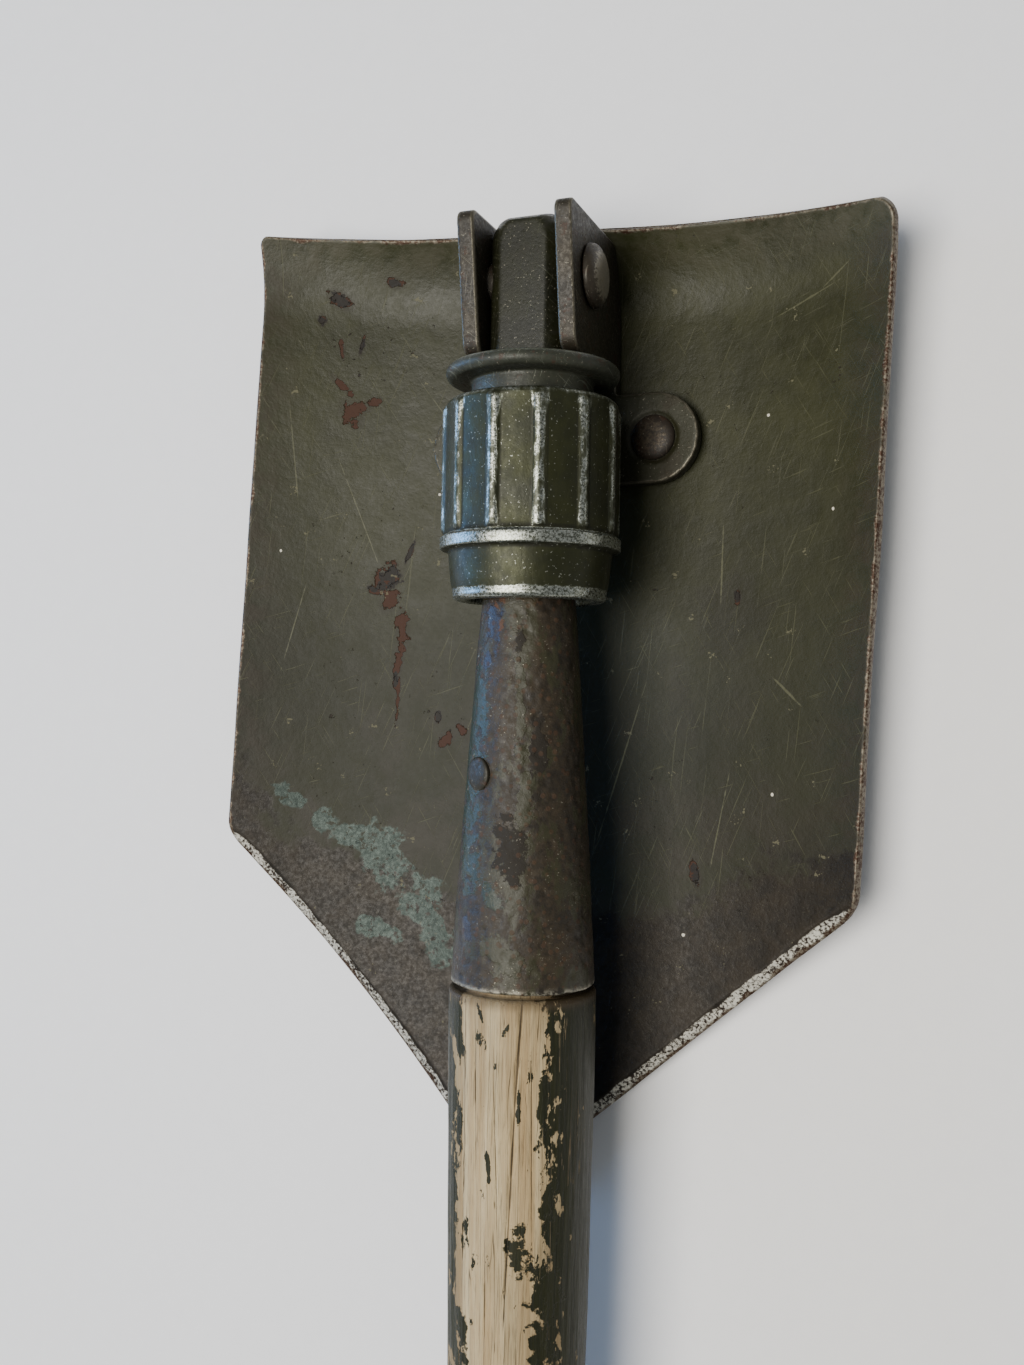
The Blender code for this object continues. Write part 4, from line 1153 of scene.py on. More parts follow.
@dataclass(frozen=True)
class WeatheredAsh:
    """Grey-gold open grain with long cracks and flakes of dark green paint."""

    pale: tuple = linear(192, 174, 136)
    warm: tuple = linear(160, 136, 98)
    grey: tuple = linear(112, 100, 76)
    crack: tuple = linear(46, 36, 26)
    paint: tuple = linear(24, 26, 11)
    paint_light: tuple = linear(35, 36, 15)
    # Darker wood colour painted on the flanks as shade.
    painted_flank_shade: tuple = linear(98, 84, 60)
    streak: tuple = linear(140, 122, 92)
    fibre: tuple = linear(118, 104, 80)
    pore: tuple = linear(96, 80, 58)
    stained_end: tuple = linear(70, 56, 40)
    radius: float = 14.6
    flakes: tuple = spots(
        (5.4, -208.0, 5.6, 2.0, 4), (11.6, -214.0, 9.0, 2.6, 0), (10.2, -226.0, 6.0, 2.2, 4),
        (-12.0, -178.0, 7.0, 1.8, 0), (-7.4, -225.0, 5.0, 1.6, 0), (11.0, -196.0, 5.0, 1.5, 0),
        (-11.0, -198.0, 6.0, 1.4, 0), (-10.6, -162.0, 4.0, 1.2, 10), (9.6, -176.0, 5.0, 1.0, 0),
        (-3.0, -158.5, 2.0, 0.6, 20), (2.6, -159.5, 1.4, 0.5, -20), (-1.0, -190.0, 2.6, 0.4, 4),
        (4.8, -176.0, 3.0, 0.4, 0),
    )
    cracks: tuple = spots(
        (4.6, -166.0, 11.5, 0.24, -3), (3.7, -187.0, 13.5, 0.20, -2), (2.9, -209.0, 12.0, 0.16, -2),
        (-4.2, -174.0, 15.0, 0.10, 1), (-7.4, -198.0, 18.0, 0.12, -1), (0.4, -186.0, 20.0, 0.08, 2),
        (7.4, -184.0, 17.0, 0.10, 1), (-1.6, -218.0, 14.0, 0.09, 0), (5.4, -244.0, 22.0, 0.12, 1),
        (-5.0, -262.0, 24.0, 0.2, 0), (1.6, -290.0, 30.0, 0.2, 1), (-8.8, -330.0, 34.0, 0.2, 0),
    )

    def build(self, name: str) -> Finish:
        """Lay grain, cracks, old paint and a painted shade on the flanks.

        Args:
            name: the material's name.

        Returns:
            The finished material.
        """
        coats = Coats(name, self.pale, 0.75, 0.25)
        angle, along, wrapped = coats.wrapped(self.radius)
        bands = coats.grain((0.0032, 0.13, 0.0032), detail=4.0, rough=0.6, seed=1.0)
        streaks = coats.grain((0.0009, 0.028, 0.0009), detail=4.0, rough=0.65, seed=2.0)
        fuzz = coats.grain((0.00028, 0.0042, 0.00028), detail=3.0, rough=0.7, seed=3.0)
        pores = coats.grain((0.00028, 0.014, 0.00028), detail=2.0, rough=0.6, seed=4.0)
        cloud = coats.grain((0.010, 0.05, 0.010), detail=3.0, seed=5.0)
        coats.colour = coats.blend(coats.step(bands, 0.34, 0.66), self.warm, self.pale)
        coats.cover(coats.step(cloud, 0.42, 0.68), self.grey, share=0.5)
        # Painted shade: the wood darkens on both flanks, away from the top, as if the handle were lit from
        # above.
        off_top = coats.magnitude(coats.plus(angle, math.radians(-6)))
        side = coats.step(off_top, math.radians(20), math.radians(60))
        coats.cover(side, self.painted_flank_shade, share=0.62)
        coats.cover(coats.step(streaks, 0.5, 0.68), self.streak, share=0.5)
        coats.cover(coats.step(fuzz, 0.52, 0.7), self.fibre, share=0.42)
        coats.cover(coats.step(pores, 0.60, 0.68), self.pore, lift=-0.00006, share=0.45)
        coats.roughness = coats.spread(fuzz, 0.6, 0.85)
        coats.raise_by(streaks, 0.00018)
        coats.raise_by(fuzz, 0.0001)
        checks = coats.grain((0.0014, 0.085, 0.0014), detail=1.0, rough=0.5, seed=6.0)
        thin = coats.step(coats.magnitude(coats.plus(checks, -0.56)), 0.010, 0.003)
        thin = coats.times(thin, coats.step(streaks, 0.44, 0.56))
        coats.cover(thin, self.crack, 0.9, lift=-0.0002, share=0.7)
        crack = coats.ragged(wrapped, self.cracks, 0.006, 1.1, 8.0, soft=0.35)
        coats.cover(crack, self.crack, 0.9, share=0.85)
        tone = coats.blend(coats.step(streaks, 0.35, 0.65), self.paint, self.paint_light)
        right = coats.step(angle, math.radians(24), math.radians(70))
        left = coats.step(angle, math.radians(-16), math.radians(-52))
        behind = coats.step(coats.magnitude(angle), math.radians(110), math.radians(150))
        kept = coats.grain((0.0042, 0.0100, 0.0042), detail=5.0, rough=0.66, seed=9.0)
        right_mask = coats.plus(coats.times(right, 0.30), kept)
        left_mask = coats.plus(coats.times(left, 0.225), kept)
        back_mask = coats.plus(coats.times(behind, 0.12), kept)
        most = coats.math("MAXIMUM", coats.math("MAXIMUM", right_mask, left_mask), back_mask)
        most = coats.minus(most, coats.times(thin, 0.3))
        coats.cover(coats.step(most, 0.62, 0.645), tone, coats.spread(fuzz, 0.4, 0.6), lift=0.00012)
        flake = coats.ragged(wrapped, self.flakes, 0.0036, 4.5, 10.0, soft=0.12)
        coats.cover(flake, tone, 0.5, lift=0.00012)
        end = coats.step(along, -0.1575, -0.1552)
        coats.cover(end, self.stained_end, share=0.55)
        return coats.done()


def floor_finish() -> Finish:
    """Matt off-white paper with a faint tooth."""
    coats = Coats("pale_paper", linear(246, 246, 246), 0.85, 0.2)
    tooth = coats.grain(0.004, detail=4.0, seed=1.0)
    coats.colour = coats.blend(tooth, linear(246, 246, 246), linear(251, 251, 251))
    coats.raise_by(tooth, 0.00002)
    return coats.done()


# ---------------------------------------------------------------- pieces


def smooth(low: float, high: float, values: np.ndarray) -> np.ndarray:
    """Smooth step from 0 at one level to 1 at another, which may be the lower one."""
    share = np.clip((values - low) / (high - low), 0, 1)
    return share * share * (3 - 2 * share)


def settle(piece: Piece, body: Body, slot: Slot, *nodes: str) -> None:
    """Attach a finished piece to its body and hide the frame nodes it stands for.

    Args:
        piece: the finished object.
        body: the body it rides on.
        slot: its material slot; not used.
        nodes: the frame nodes it stands for.
    """
    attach(piece, body.value)
    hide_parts(*nodes)
    LOG.info("%s: %d faces", piece.name, len(piece.data.polygons))


def dress(piece: Piece, material: Finish) -> None:
    """Give a whole piece one finish."""
    piece.data.materials.clear()
    piece.data.materials.append(material)


def dome_profile(radius: float, foot: float, rise: float, count: int, power: float) -> Profile:
    """Profile of a dome, from its foot almost to its crown."""
    turns = [share * math.pi / 2 for share in np.linspace(0, 1, count)[:-1]]
    return [(radius * math.cos(turn) ** power, foot + rise * math.sin(turn)) for turn in turns]


def mirrored(half: Profile) -> Profile:
    """A pin's whole profile from one half of it."""
    return [(radius, -level) for radius, level in reversed(half)] + half


def arc_profile(centre: tuple, radius: float, start: float, end: float, count: int) -> Profile:
    """Profile points of an arc in the (radius, y) plane, both ends included, angles in degrees."""
    turns = [math.radians(start + (end - start) * i / count) for i in range(count + 1)]
    return [(centre[0] + radius * math.cos(t), centre[1] + radius * math.sin(t)) for t in turns]


def filled_profile(corners: Profile, step: float) -> Profile:
    """Add points along a profile's straight stretches, no further apart than a step.

    Args:
        corners: the profile to fill.
        step: longest gap that stays.

    Returns:
        The filled profile.
    """
    points = [corners[0]]
    for before, after in zip(corners, corners[1:]):
        count = max(1, math.ceil(math.dist(before, after) / step))
        for i in range(1, count + 1):
            points.append(tuple(b + (a - b) * i / count for b, a in zip(before, after)))
    return points


@dataclass
class Blade:
    """Dished blade with a curled step edge and two ground digging edges."""

    skew: float = math.radians(-3.1)
    top: float = 0.0163
    top_width: float = 0.1508
    shoulder_width: float = 0.1526
    side_length: float = 0.1475
    point_length: float = 0.0765
    thickness: float = 0.0020
    face: float = 0.0248
    flat_width: float = 0.0240
    dish_top: float = 0.0154
    dish_shoulder: float = 0.0140
    step_length: float = 0.0200
    step_rise_centre: float = 0.0092
    step_rise_side: float = 0.0046
    point_rise: float = 0.0070
    point_curve: float = 0.0840
    corner_left: float = 0.0024
    corner_right: float = 0.0048
    shoulder_blend: float = 0.0034
    point_radius: float = 0.0090
    point_land: float = 0.00025
    bevel_width: float = 0.0026
    bevel_edge: float = 0.0006
    edge_round: float = 0.0005
    back_round: float = 0.0003
    edge_blend: float = 0.0080
    probe: float = 0.0002
    row_step: float = 0.00105
    inner_columns: int = 132
    bracket_reach: float = 0.0400
    bracket_middle: float = 0.0200

    @property
    def point_level(self) -> float:
        """Level of the blade's point, before it is rounded."""
        return self.top - self.side_length - self.point_length

    @property
    def lean(self) -> float:
        """Angle between a digging edge and the blade's middle line."""
        return math.atan(self.shoulder_width / 2 / self.point_length)

    @property
    def nose_level(self) -> float:
        """Level of the middle of the point's rounding."""
        return self.point_level + self.point_radius / math.sin(self.lean)

    def height(self, x: np.ndarray, y: np.ndarray) -> np.ndarray:
        """Height of the inner face over the pivot's level, in the blade's own axes.

        Args:
            x: places across the blade.
            y: places along it.

        Returns:
            The height at each place.
        """
        rising = np.clip((y - (self.top - self.step_length)) / self.step_length, 0, 1)
        across = np.minimum((2 * np.abs(x) / self.top_width) ** 1.5, 1)
        step = (self.step_rise_centre + (self.step_rise_side - self.step_rise_centre) * across) * rising**2
        start = self.point_level + self.point_curve
        point = self.point_rise * np.maximum((start - y) / self.point_curve, 0) ** 2
        down = np.clip((self.top - y) / self.side_length, 0, 1)
        dish = self.dish_top + (self.dish_shoulder - self.dish_top) * down
        slope_start = self.flat_width / 2
        off_flat = np.maximum(np.abs(x) - slope_start, 0) / (self.top_width / 2 - slope_start)
        return -self.face + dish * off_flat**2 + step + point

    def sheet_point(self, x: np.ndarray, y: np.ndarray, depth: np.ndarray) -> np.ndarray:
        """Points a depth under the inner face, square to it, in the blade's own axes.

        Args:
            x: places across the blade.
            y: places along it.
            depth: depth at each place.

        Returns:
            One row of three coordinates for each place.
        """
        d = self.probe
        across = (self.height(x + d, y) - self.height(x - d, y)) / (2 * d)
        along = (self.height(x, y + d) - self.height(x, y - d)) / (2 * d)
        normal = np.stack([-across, -along, np.ones_like(across)], axis=-1)
        normal /= np.linalg.norm(normal, axis=-1, keepdims=True)
        return np.stack([x, y, self.height(x, y)], axis=-1) - normal * depth[..., None]

    def in_shaft_axes(self, points: np.ndarray) -> np.ndarray:
        """Turn points from the blade's own axes to the shaft's."""
        turn = np.array(Matrix.Rotation(self.skew, 3, "Z"))
        return points @ turn.T

    def half_width(self, y: np.ndarray, corner: float) -> np.ndarray:
        """Half the blade's width at each level, for a side with the given top corner.

        Args:
            y: the levels.
            corner: radius of that side's top corner.

        Returns:
            Half the width at each level.
        """
        down = np.clip((self.top - y) / self.side_length, 0, 1)
        side = (self.top_width + (self.shoulder_width - self.top_width) * down) / 2
        lower = self.shoulder_width / 2 * (y - self.point_level) / self.point_length
        share = np.clip(0.5 + 0.5 * (lower - side) / self.shoulder_blend, 0, 1)
        half = lower + (side - lower) * share - self.shoulder_blend * share * (1 - share)
        nose = np.sqrt(np.maximum(self.point_radius**2 - (y - self.nose_level) ** 2, 0))
        half = np.where(y < self.nose_level - self.point_radius * math.sin(self.lean), nose, half)
        over = np.clip(y - (self.top - corner), 0, corner)
        return np.maximum(half - corner + np.sqrt(corner**2 - over**2), self.point_land)

    def levels(self) -> np.ndarray:
        """Levels of the rows, from the point to the top, close together at both ends."""
        turns = np.radians([1.5, 3.5, 6, 9, 12.5, 16.5, 21, 26, 31, 36, 41, 45])
        nose = self.nose_level - self.point_radius * np.cos(turns)
        drops = np.array([5.4, 4.4, 3.5, 2.7, 2.1, 1.6, 1.15, 0.8, 0.5, 0.3, 0.15, 0.05, 0.0]) * MM
        count = round((self.top - drops[0] - nose[-1]) / self.row_step)
        middle = np.linspace(nose[-1], self.top - drops[0], count + 1)[1:-1]
        return np.concatenate([nose, middle, self.top - drops])

    def build(self) -> Piece:
        """Make the sheet: each row runs over the face, round one edge, and back under."""
        y = self.levels()
        left, right = self.half_width(y, self.corner_left), self.half_width(y, self.corner_right)
        slope = math.atan(self.point_length * 2 / self.shoulder_width)
        shoulder = self.point_level + self.point_length
        below = smooth(self.edge_blend / 2, -self.edge_blend / 2, y - shoulder)
        offsets = np.array([0, 0.06, 0.15, 0.27, 0.43, 0.66, 0.96, 1.35, 1.8, 2.25, 2.6, 3.0, 3.6, 4.4]) * MM
        spread = offsets[None, :] * (1 + below * (1 / math.cos(slope) - 1))[:, None]
        inner = np.linspace(0, 1, self.inner_columns + 2)[1:-1]
        narrow = np.minimum(1, np.minimum(left, right) * 0.85 / spread[:, -1])[:, None]
        from_left = -left[:, None] + spread * narrow
        from_right = right[:, None] - spread * narrow
        between = from_left[:, -1:] + (from_right[:, -1:] - from_left[:, -1:]) * inner
        x = np.concatenate([from_left, between, from_right[:, ::-1]], axis=1)
        levels = np.repeat(y[:, None], x.shape[1], axis=1)
        rim = self.rim_distance(x, levels, y, left, right)
        waver = 0.10 * np.sin(levels * 260 + x * 90) + 0.06 * np.sin(levels * 910 - x * 640)
        width = self.bevel_width * (1 + waver)
        ground = below[:, None] * np.clip(1 - rim / width, 0, 1)
        depth = ground * (self.thickness - self.bevel_edge)
        depth = depth + self.rounding(rim, self.edge_round) * (1 - 0.6 * below[:, None])
        under = self.thickness - self.rounding(rim, self.back_round)
        front = self.sheet_point(x, levels, depth)
        back = self.sheet_point(x, levels, under)[:, ::-1]
        points = self.in_shaft_axes(np.concatenate([front, back], axis=1))
        faces = wound_faces(points.shape[0], points.shape[1], False).tolist() + self.caps(*points.shape[:2])
        piece = make_piece("blade_sheet", points.reshape(-1, 3), faces)
        face_out(piece)
        bevel = np.clip(1.3 - rim / self.bevel_width, 0, 1) * below[:, None]
        fold = smooth(self.top - 0.009, self.top - 0.002, levels)
        sides = (
            (Mark.RIM, rim, rim[:, ::-1]),
            (Mark.BARE, bevel, 0.6 * bevel[:, ::-1]),
            (Mark.WORN, fold, 0 * fold),
        )
        for mark, face, reverse in sides:
            write_mark(piece.data, mark, np.concatenate([face, reverse], axis=1).ravel())
        write_mark(piece.data, Mark.RELIEF, self.dent_share(points).ravel())
        return piece

    def rounding(self, rim: np.ndarray, radius: float) -> np.ndarray:
        """How far a rounded edge falls away, by distance from the rim."""
        inside = np.clip(radius - rim, 0, radius)
        return radius - np.sqrt(radius**2 - inside**2)

    def rim_distance(
        self, x: np.ndarray, levels: np.ndarray, y: np.ndarray, left: np.ndarray, right: np.ndarray,
    ) -> np.ndarray:
        """Distance of each place from the blade's outline, seen from above.

        Args:
            x: places across the blade.
            levels: places along it.
            y: level of each row.
            left: half width of each row on the left.
            right: half width of each row on the right.

        Returns:
            The distance at each place.
        """
        top_count, side_count, batch = 700, 2600, 2000
        share = np.linspace(0, 1, top_count)
        top = np.stack([-left[-1] + (left[-1] + right[-1]) * share, np.full(top_count, y[-1])], axis=1)
        fine = np.linspace(y[0], y[-1], side_count)
        sides = [np.stack([-self.half_width(fine, self.corner_left), fine], axis=1)]
        sides.append(np.stack([self.half_width(fine, self.corner_right), fine], axis=1))
        outline = np.concatenate([top] + sides)
        places = np.stack([x.ravel(), levels.ravel()], axis=1)
        nearest = np.empty(len(places))
        for start in range(0, len(places), batch):
            part = places[start:start + batch]
            across = part[:, None, 0] - outline[None, :, 0]
            along = part[:, None, 1] - outline[None, :, 1]
            nearest[start:start + batch] = np.sqrt((across**2 + along**2).min(axis=1))
        nearest = nearest.reshape(x.shape)
        nearest[:, 0] = 0.0
        nearest[:, -1] = 0.0
        nearest[-1] = 0.0
        return nearest

    def caps(self, rows: int, columns: int) -> list:
        """Strips of quads that close the point and the top edge, face to back.

        Args:
            rows: number of rows.
            columns: points on each row, face and back together.

        Returns:
            Vertex indices of each quad.
        """
        faces = []
        half = columns // 2
        for row in (0, rows - 1):
            start = row * columns
            for j in range(half - 1):
                face = [start + j, start + columns - 1 - j, start + columns - 2 - j, start + j + 1]
                faces.append(face if row == 0 else face[::-1])
        return faces

    def dent_share(self, points: np.ndarray) -> np.ndarray:
        """Where the sheet may be dented: away from the bracket, and the same way on both sides.

        Args:
            points: the sheet's points, in the shaft's axes.

        Returns:
            The share at each point, negative on the back.
        """
        away = np.hypot(points[..., 0], points[..., 1] + self.bracket_middle)
        share = smooth(self.bracket_reach, self.bracket_reach + self.bracket_middle, away)
        half = share.shape[1] // 2
        share[:, half:] *= -1
        return share

    def make(self) -> None:
        """Build, dent and dress the blade."""
        piece = self.build()
        finish = OlivePaint(skew=self.skew).build("olive_service_paint")
        weather(piece, finish, (0.0009, (0.034, 0.046, 0.034)), (0.00008, (0.004, 0.004, 0.004)))
        settle(piece, Body.BLADE, Slot.BLADE, "blade")


@dataclass
class BladeRivets:
    """Three domed rivets that hold the bracket on the blade."""

    blade: Blade
    across: float = 0.0224
    below: float = 0.0318
    top_below: float = 0.0085
    head: float = 0.0052
    shank: float = 0.0032
    tail: float = 0.0049
    seat: float = 0.00580
    rim: float = 0.0005
    dome: float = 0.0014
    tail_sink: float = 0.0015
    tail_dome: float = 0.00012
    segments: int = 96

    def profile(self) -> Profile:
        """(radius, height) over the blade's back, from the tail to the head's crown."""
        shares = np.linspace(0.02, 1, 12)
        points = [(self.tail * s, -self.tail_dome * (1 - s**4)) for s in shares]
        points += [(self.shank, self.tail_sink), (self.shank, self.seat)]
        points += [(self.head * 0.97, self.seat), (self.head, self.seat + 0.00012)]
        return points + dome_profile(self.head, self.seat + self.rim, self.dome, 22, 0.8)

    def build(self) -> Piece:
        """Turn one rivet, then stand it on its three places."""
        profile = self.profile()
        angle = np.linspace(0, 2 * math.pi, self.segments, endpoint=False)
        rows = [
            np.stack([radius * np.cos(angle), radius * np.sin(angle), np.full_like(angle, level)], axis=1)
            for radius, level in profile
        ]
        rivet = turned_piece("one_rivet", np.stack(rows) - np.array(PIVOT), False)
        crown = smooth(self.seat + self.rim, self.seat + self.rim + self.dome, read_points(rivet.data)[:, 2])
        write_mark(rivet.data, Mark.WORN, 0.62 * crown)
        places = np.array([(-self.across, -self.below), (self.across, -self.below), (0.0, -self.top_below)])
        own = places @ np.array(Matrix.Rotation(-self.blade.skew, 2)).T
        base = self.blade.sheet_point(own[:, 0], own[:, 1], np.full(3, self.blade.thickness))
        over = self.blade.sheet_point(own[:, 0], own[:, 1], np.zeros(3))
        base, over = self.blade.in_shaft_axes(base), self.blade.in_shaft_axes(over)
        piece = make_piece("bracket_rivets", base, [])
        stand = piece.data.attributes.new(Mark.NORMAL.value, "FLOAT_VECTOR", "POINT")
        stand.data.foreach_set("vector", ((over - base) / self.blade.thickness).astype(np.float32).ravel())
        steel = BrownedSteel(
            base=linear(36, 30, 23), light=linear(50, 42, 33),
            worn=linear(78, 70, 58), seed=31.0,
        )
        rivet_tool().apply(piece, {"Rivet": rivet, "Finish": steel.build("rivet_steel")})
        piece.data.shade_smooth()
        bpy.data.objects.remove(rivet)
        return piece

    def make(self) -> None:
        piece = self.build()
        settle(piece, Body.BLADE, Slot.RIVET, "blade_rivet_left", "blade_rivet_right", "blade_rivet_top")


@dataclass
class Skin:
    """A forged or bent piece, shown as a fine skin over its frame node."""

    name: str
    node: str
    smoothing: int
    body: Body
    slot: Slot
    finish: str
    steel: BrownedSteel
    cell: float = 0.00036
    wear: float = 9.0
    wear_rounds: int = 3

    def make(self) -> None:
        """Skin the frame's node, mark its edges and dress it."""
        piece = remeshed(self.name, self.node, self.cell, self.smoothing)
        mark_wear(piece.data, self.wear, self.wear_rounds)
        dress(piece, self.steel.build(self.finish))
        settle(piece, self.body, self.slot, self.node)


BRACKET = Skin(
    "hinge_bracket_skin", "hinge_bracket", 7, Body.BLADE, Slot.BRACKET, "browned_bracket",
    BrownedSteel(edge=0.42, seed=3.0, bar_paint=linear(40, 40, 23)),
)
NECK = Skin(
    "neck_forging", "neck", 5, Body.SHAFT, Slot.NECK, "neck_paint",
    BrownedSteel(
        base=linear(22, 23, 12), light=linear(30, 31, 16), worn=linear(56, 58, 42),
        rust=linear(30, 29, 20), rough=0.42, shine=0.1, edge=0.8, seed=13.0,
    ),
)


@dataclass
class PivotRivet:
    """Headed pin through both ears and the tongue."""

    shank: float = 0.0050
    head: float = 0.0070
    seat: float = 0.01327
    rim: float = 0.0006
    segments: int = 120

    def make(self) -> None:
        """Turn the rivet about the hinge's axis."""
        low, high = span("pivot_rivet")
        reach = (high.x - low.x) / 2
        dome = reach - self.seat - self.rim
        half = [(self.shank, 0.004), (self.shank, self.seat), (self.head * 0.96, self.seat)]
        half += [(self.head, self.seat + 0.0002), (self.head, self.seat + self.rim * 0.7)]
        half += dome_profile(self.head * 0.985, self.seat + self.rim, dome, 26, 0.85)
        half = [half[0]] + filled_profile(half[1:3], 0.0008) + half[3:]
        points = turned_points(mirrored(half), self.segments)[..., [1, 0, 2]]
        piece = turned_piece("pivot_pin", points, False)
        outward = np.abs(read_points(piece.data)[:, 0] - PIVOT.x)
        write_mark(piece.data, Mark.WORN, 0.75 * smooth(self.seat + self.rim, reach, outward))
        steel = BrownedSteel(
            base=linear(44, 38, 30), light=linear(60, 54, 44),
            worn=linear(132, 126, 112), seed=23.0,
        )
        dress(piece, steel.build("pivot_steel"))
        settle(piece, Body.BLADE, Slot.PIVOT, "pivot_rivet")


@dataclass
class ThrustRing:
    """Rounded flange with a hub that hangs in the nut."""

    bore: float = 0.0103
    top: float = -0.0193
    thickness: float = 0.0034
    radius: float = 0.0192
    hub_bore: float = 0.01240
    hub_neck: float = 0.0135
    hub_lip: float = 0.0146
    lip_height: float = 0.0018
    break_edge: float = 0.0003
    segments: int = 256

    def make(self) -> None:
        """Turn the ring and dress it."""
        end = span("thrust_ring")[0].y
        under = self.top - self.thickness
        nose = self.thickness / 2
        profile = [(self.bore, self.top - self.break_edge), (self.bore + self.break_edge, self.top)]
        profile += [(self.radius - nose - 0.0002, self.top)]
        profile += arc_profile((self.radius - nose, self.top - nose), nose, 84, -84, 28)
        profile += [(self.radius - nose - 0.0002, under), (self.hub_neck + 0.0003, under)]
        profile += [(self.hub_neck, under - 0.0003), (self.hub_neck, end + self.lip_height)]
        lip = end + self.lip_height
        profile += [(self.hub_lip - 0.0002, lip), (self.hub_lip, lip - 0.0002)]
        profile += [(self.hub_lip, end + 0.0002), (self.hub_lip - 0.0002, end), (self.hub_bore, end)]
        profile += [(self.hub_bore, under), (self.bore, under + 0.0008)]
        profile = filled_profile(profile, 0.0006)
        piece = turned_piece("thrust_collar", turned_points(profile, self.segments), True)
        out, level, _ = round_places(piece.data)
        worn = smooth(self.radius - 0.0016, self.radius - 0.0008, out)
        worn = worn * smooth(self.top - 0.0016, self.top - 0.0002, level)
        write_mark(piece.data, Mark.WORN, 0.72 * worn)
        steel = BrownedSteel(
            base=linear(44, 46, 38), light=linear(58, 60, 50), worn=linear(104, 108, 96),
            rough=0.46, seed=43.0,
        )
        dress(piece, steel.build("ring_steel"))
        settle(piece, Body.RING, Slot.RING, "thrust_ring")


@dataclass
class RetainingRing:
    """Sprung wire, kept as the frame has it."""

    def make(self) -> None:
        """Dress the frame's wire ring."""
        node = frame["nodes"]["retaining_ring"]
        wire = BrownedSteel(
            base=linear(150, 150, 146), light=linear(182, 182, 178), worn=linear(210, 210, 206),
            rust=linear(120, 112, 100), rough=0.34, shine=0.9, seed=53.0,
        )
        dress(node, wire.build("bright_spring_wire"))


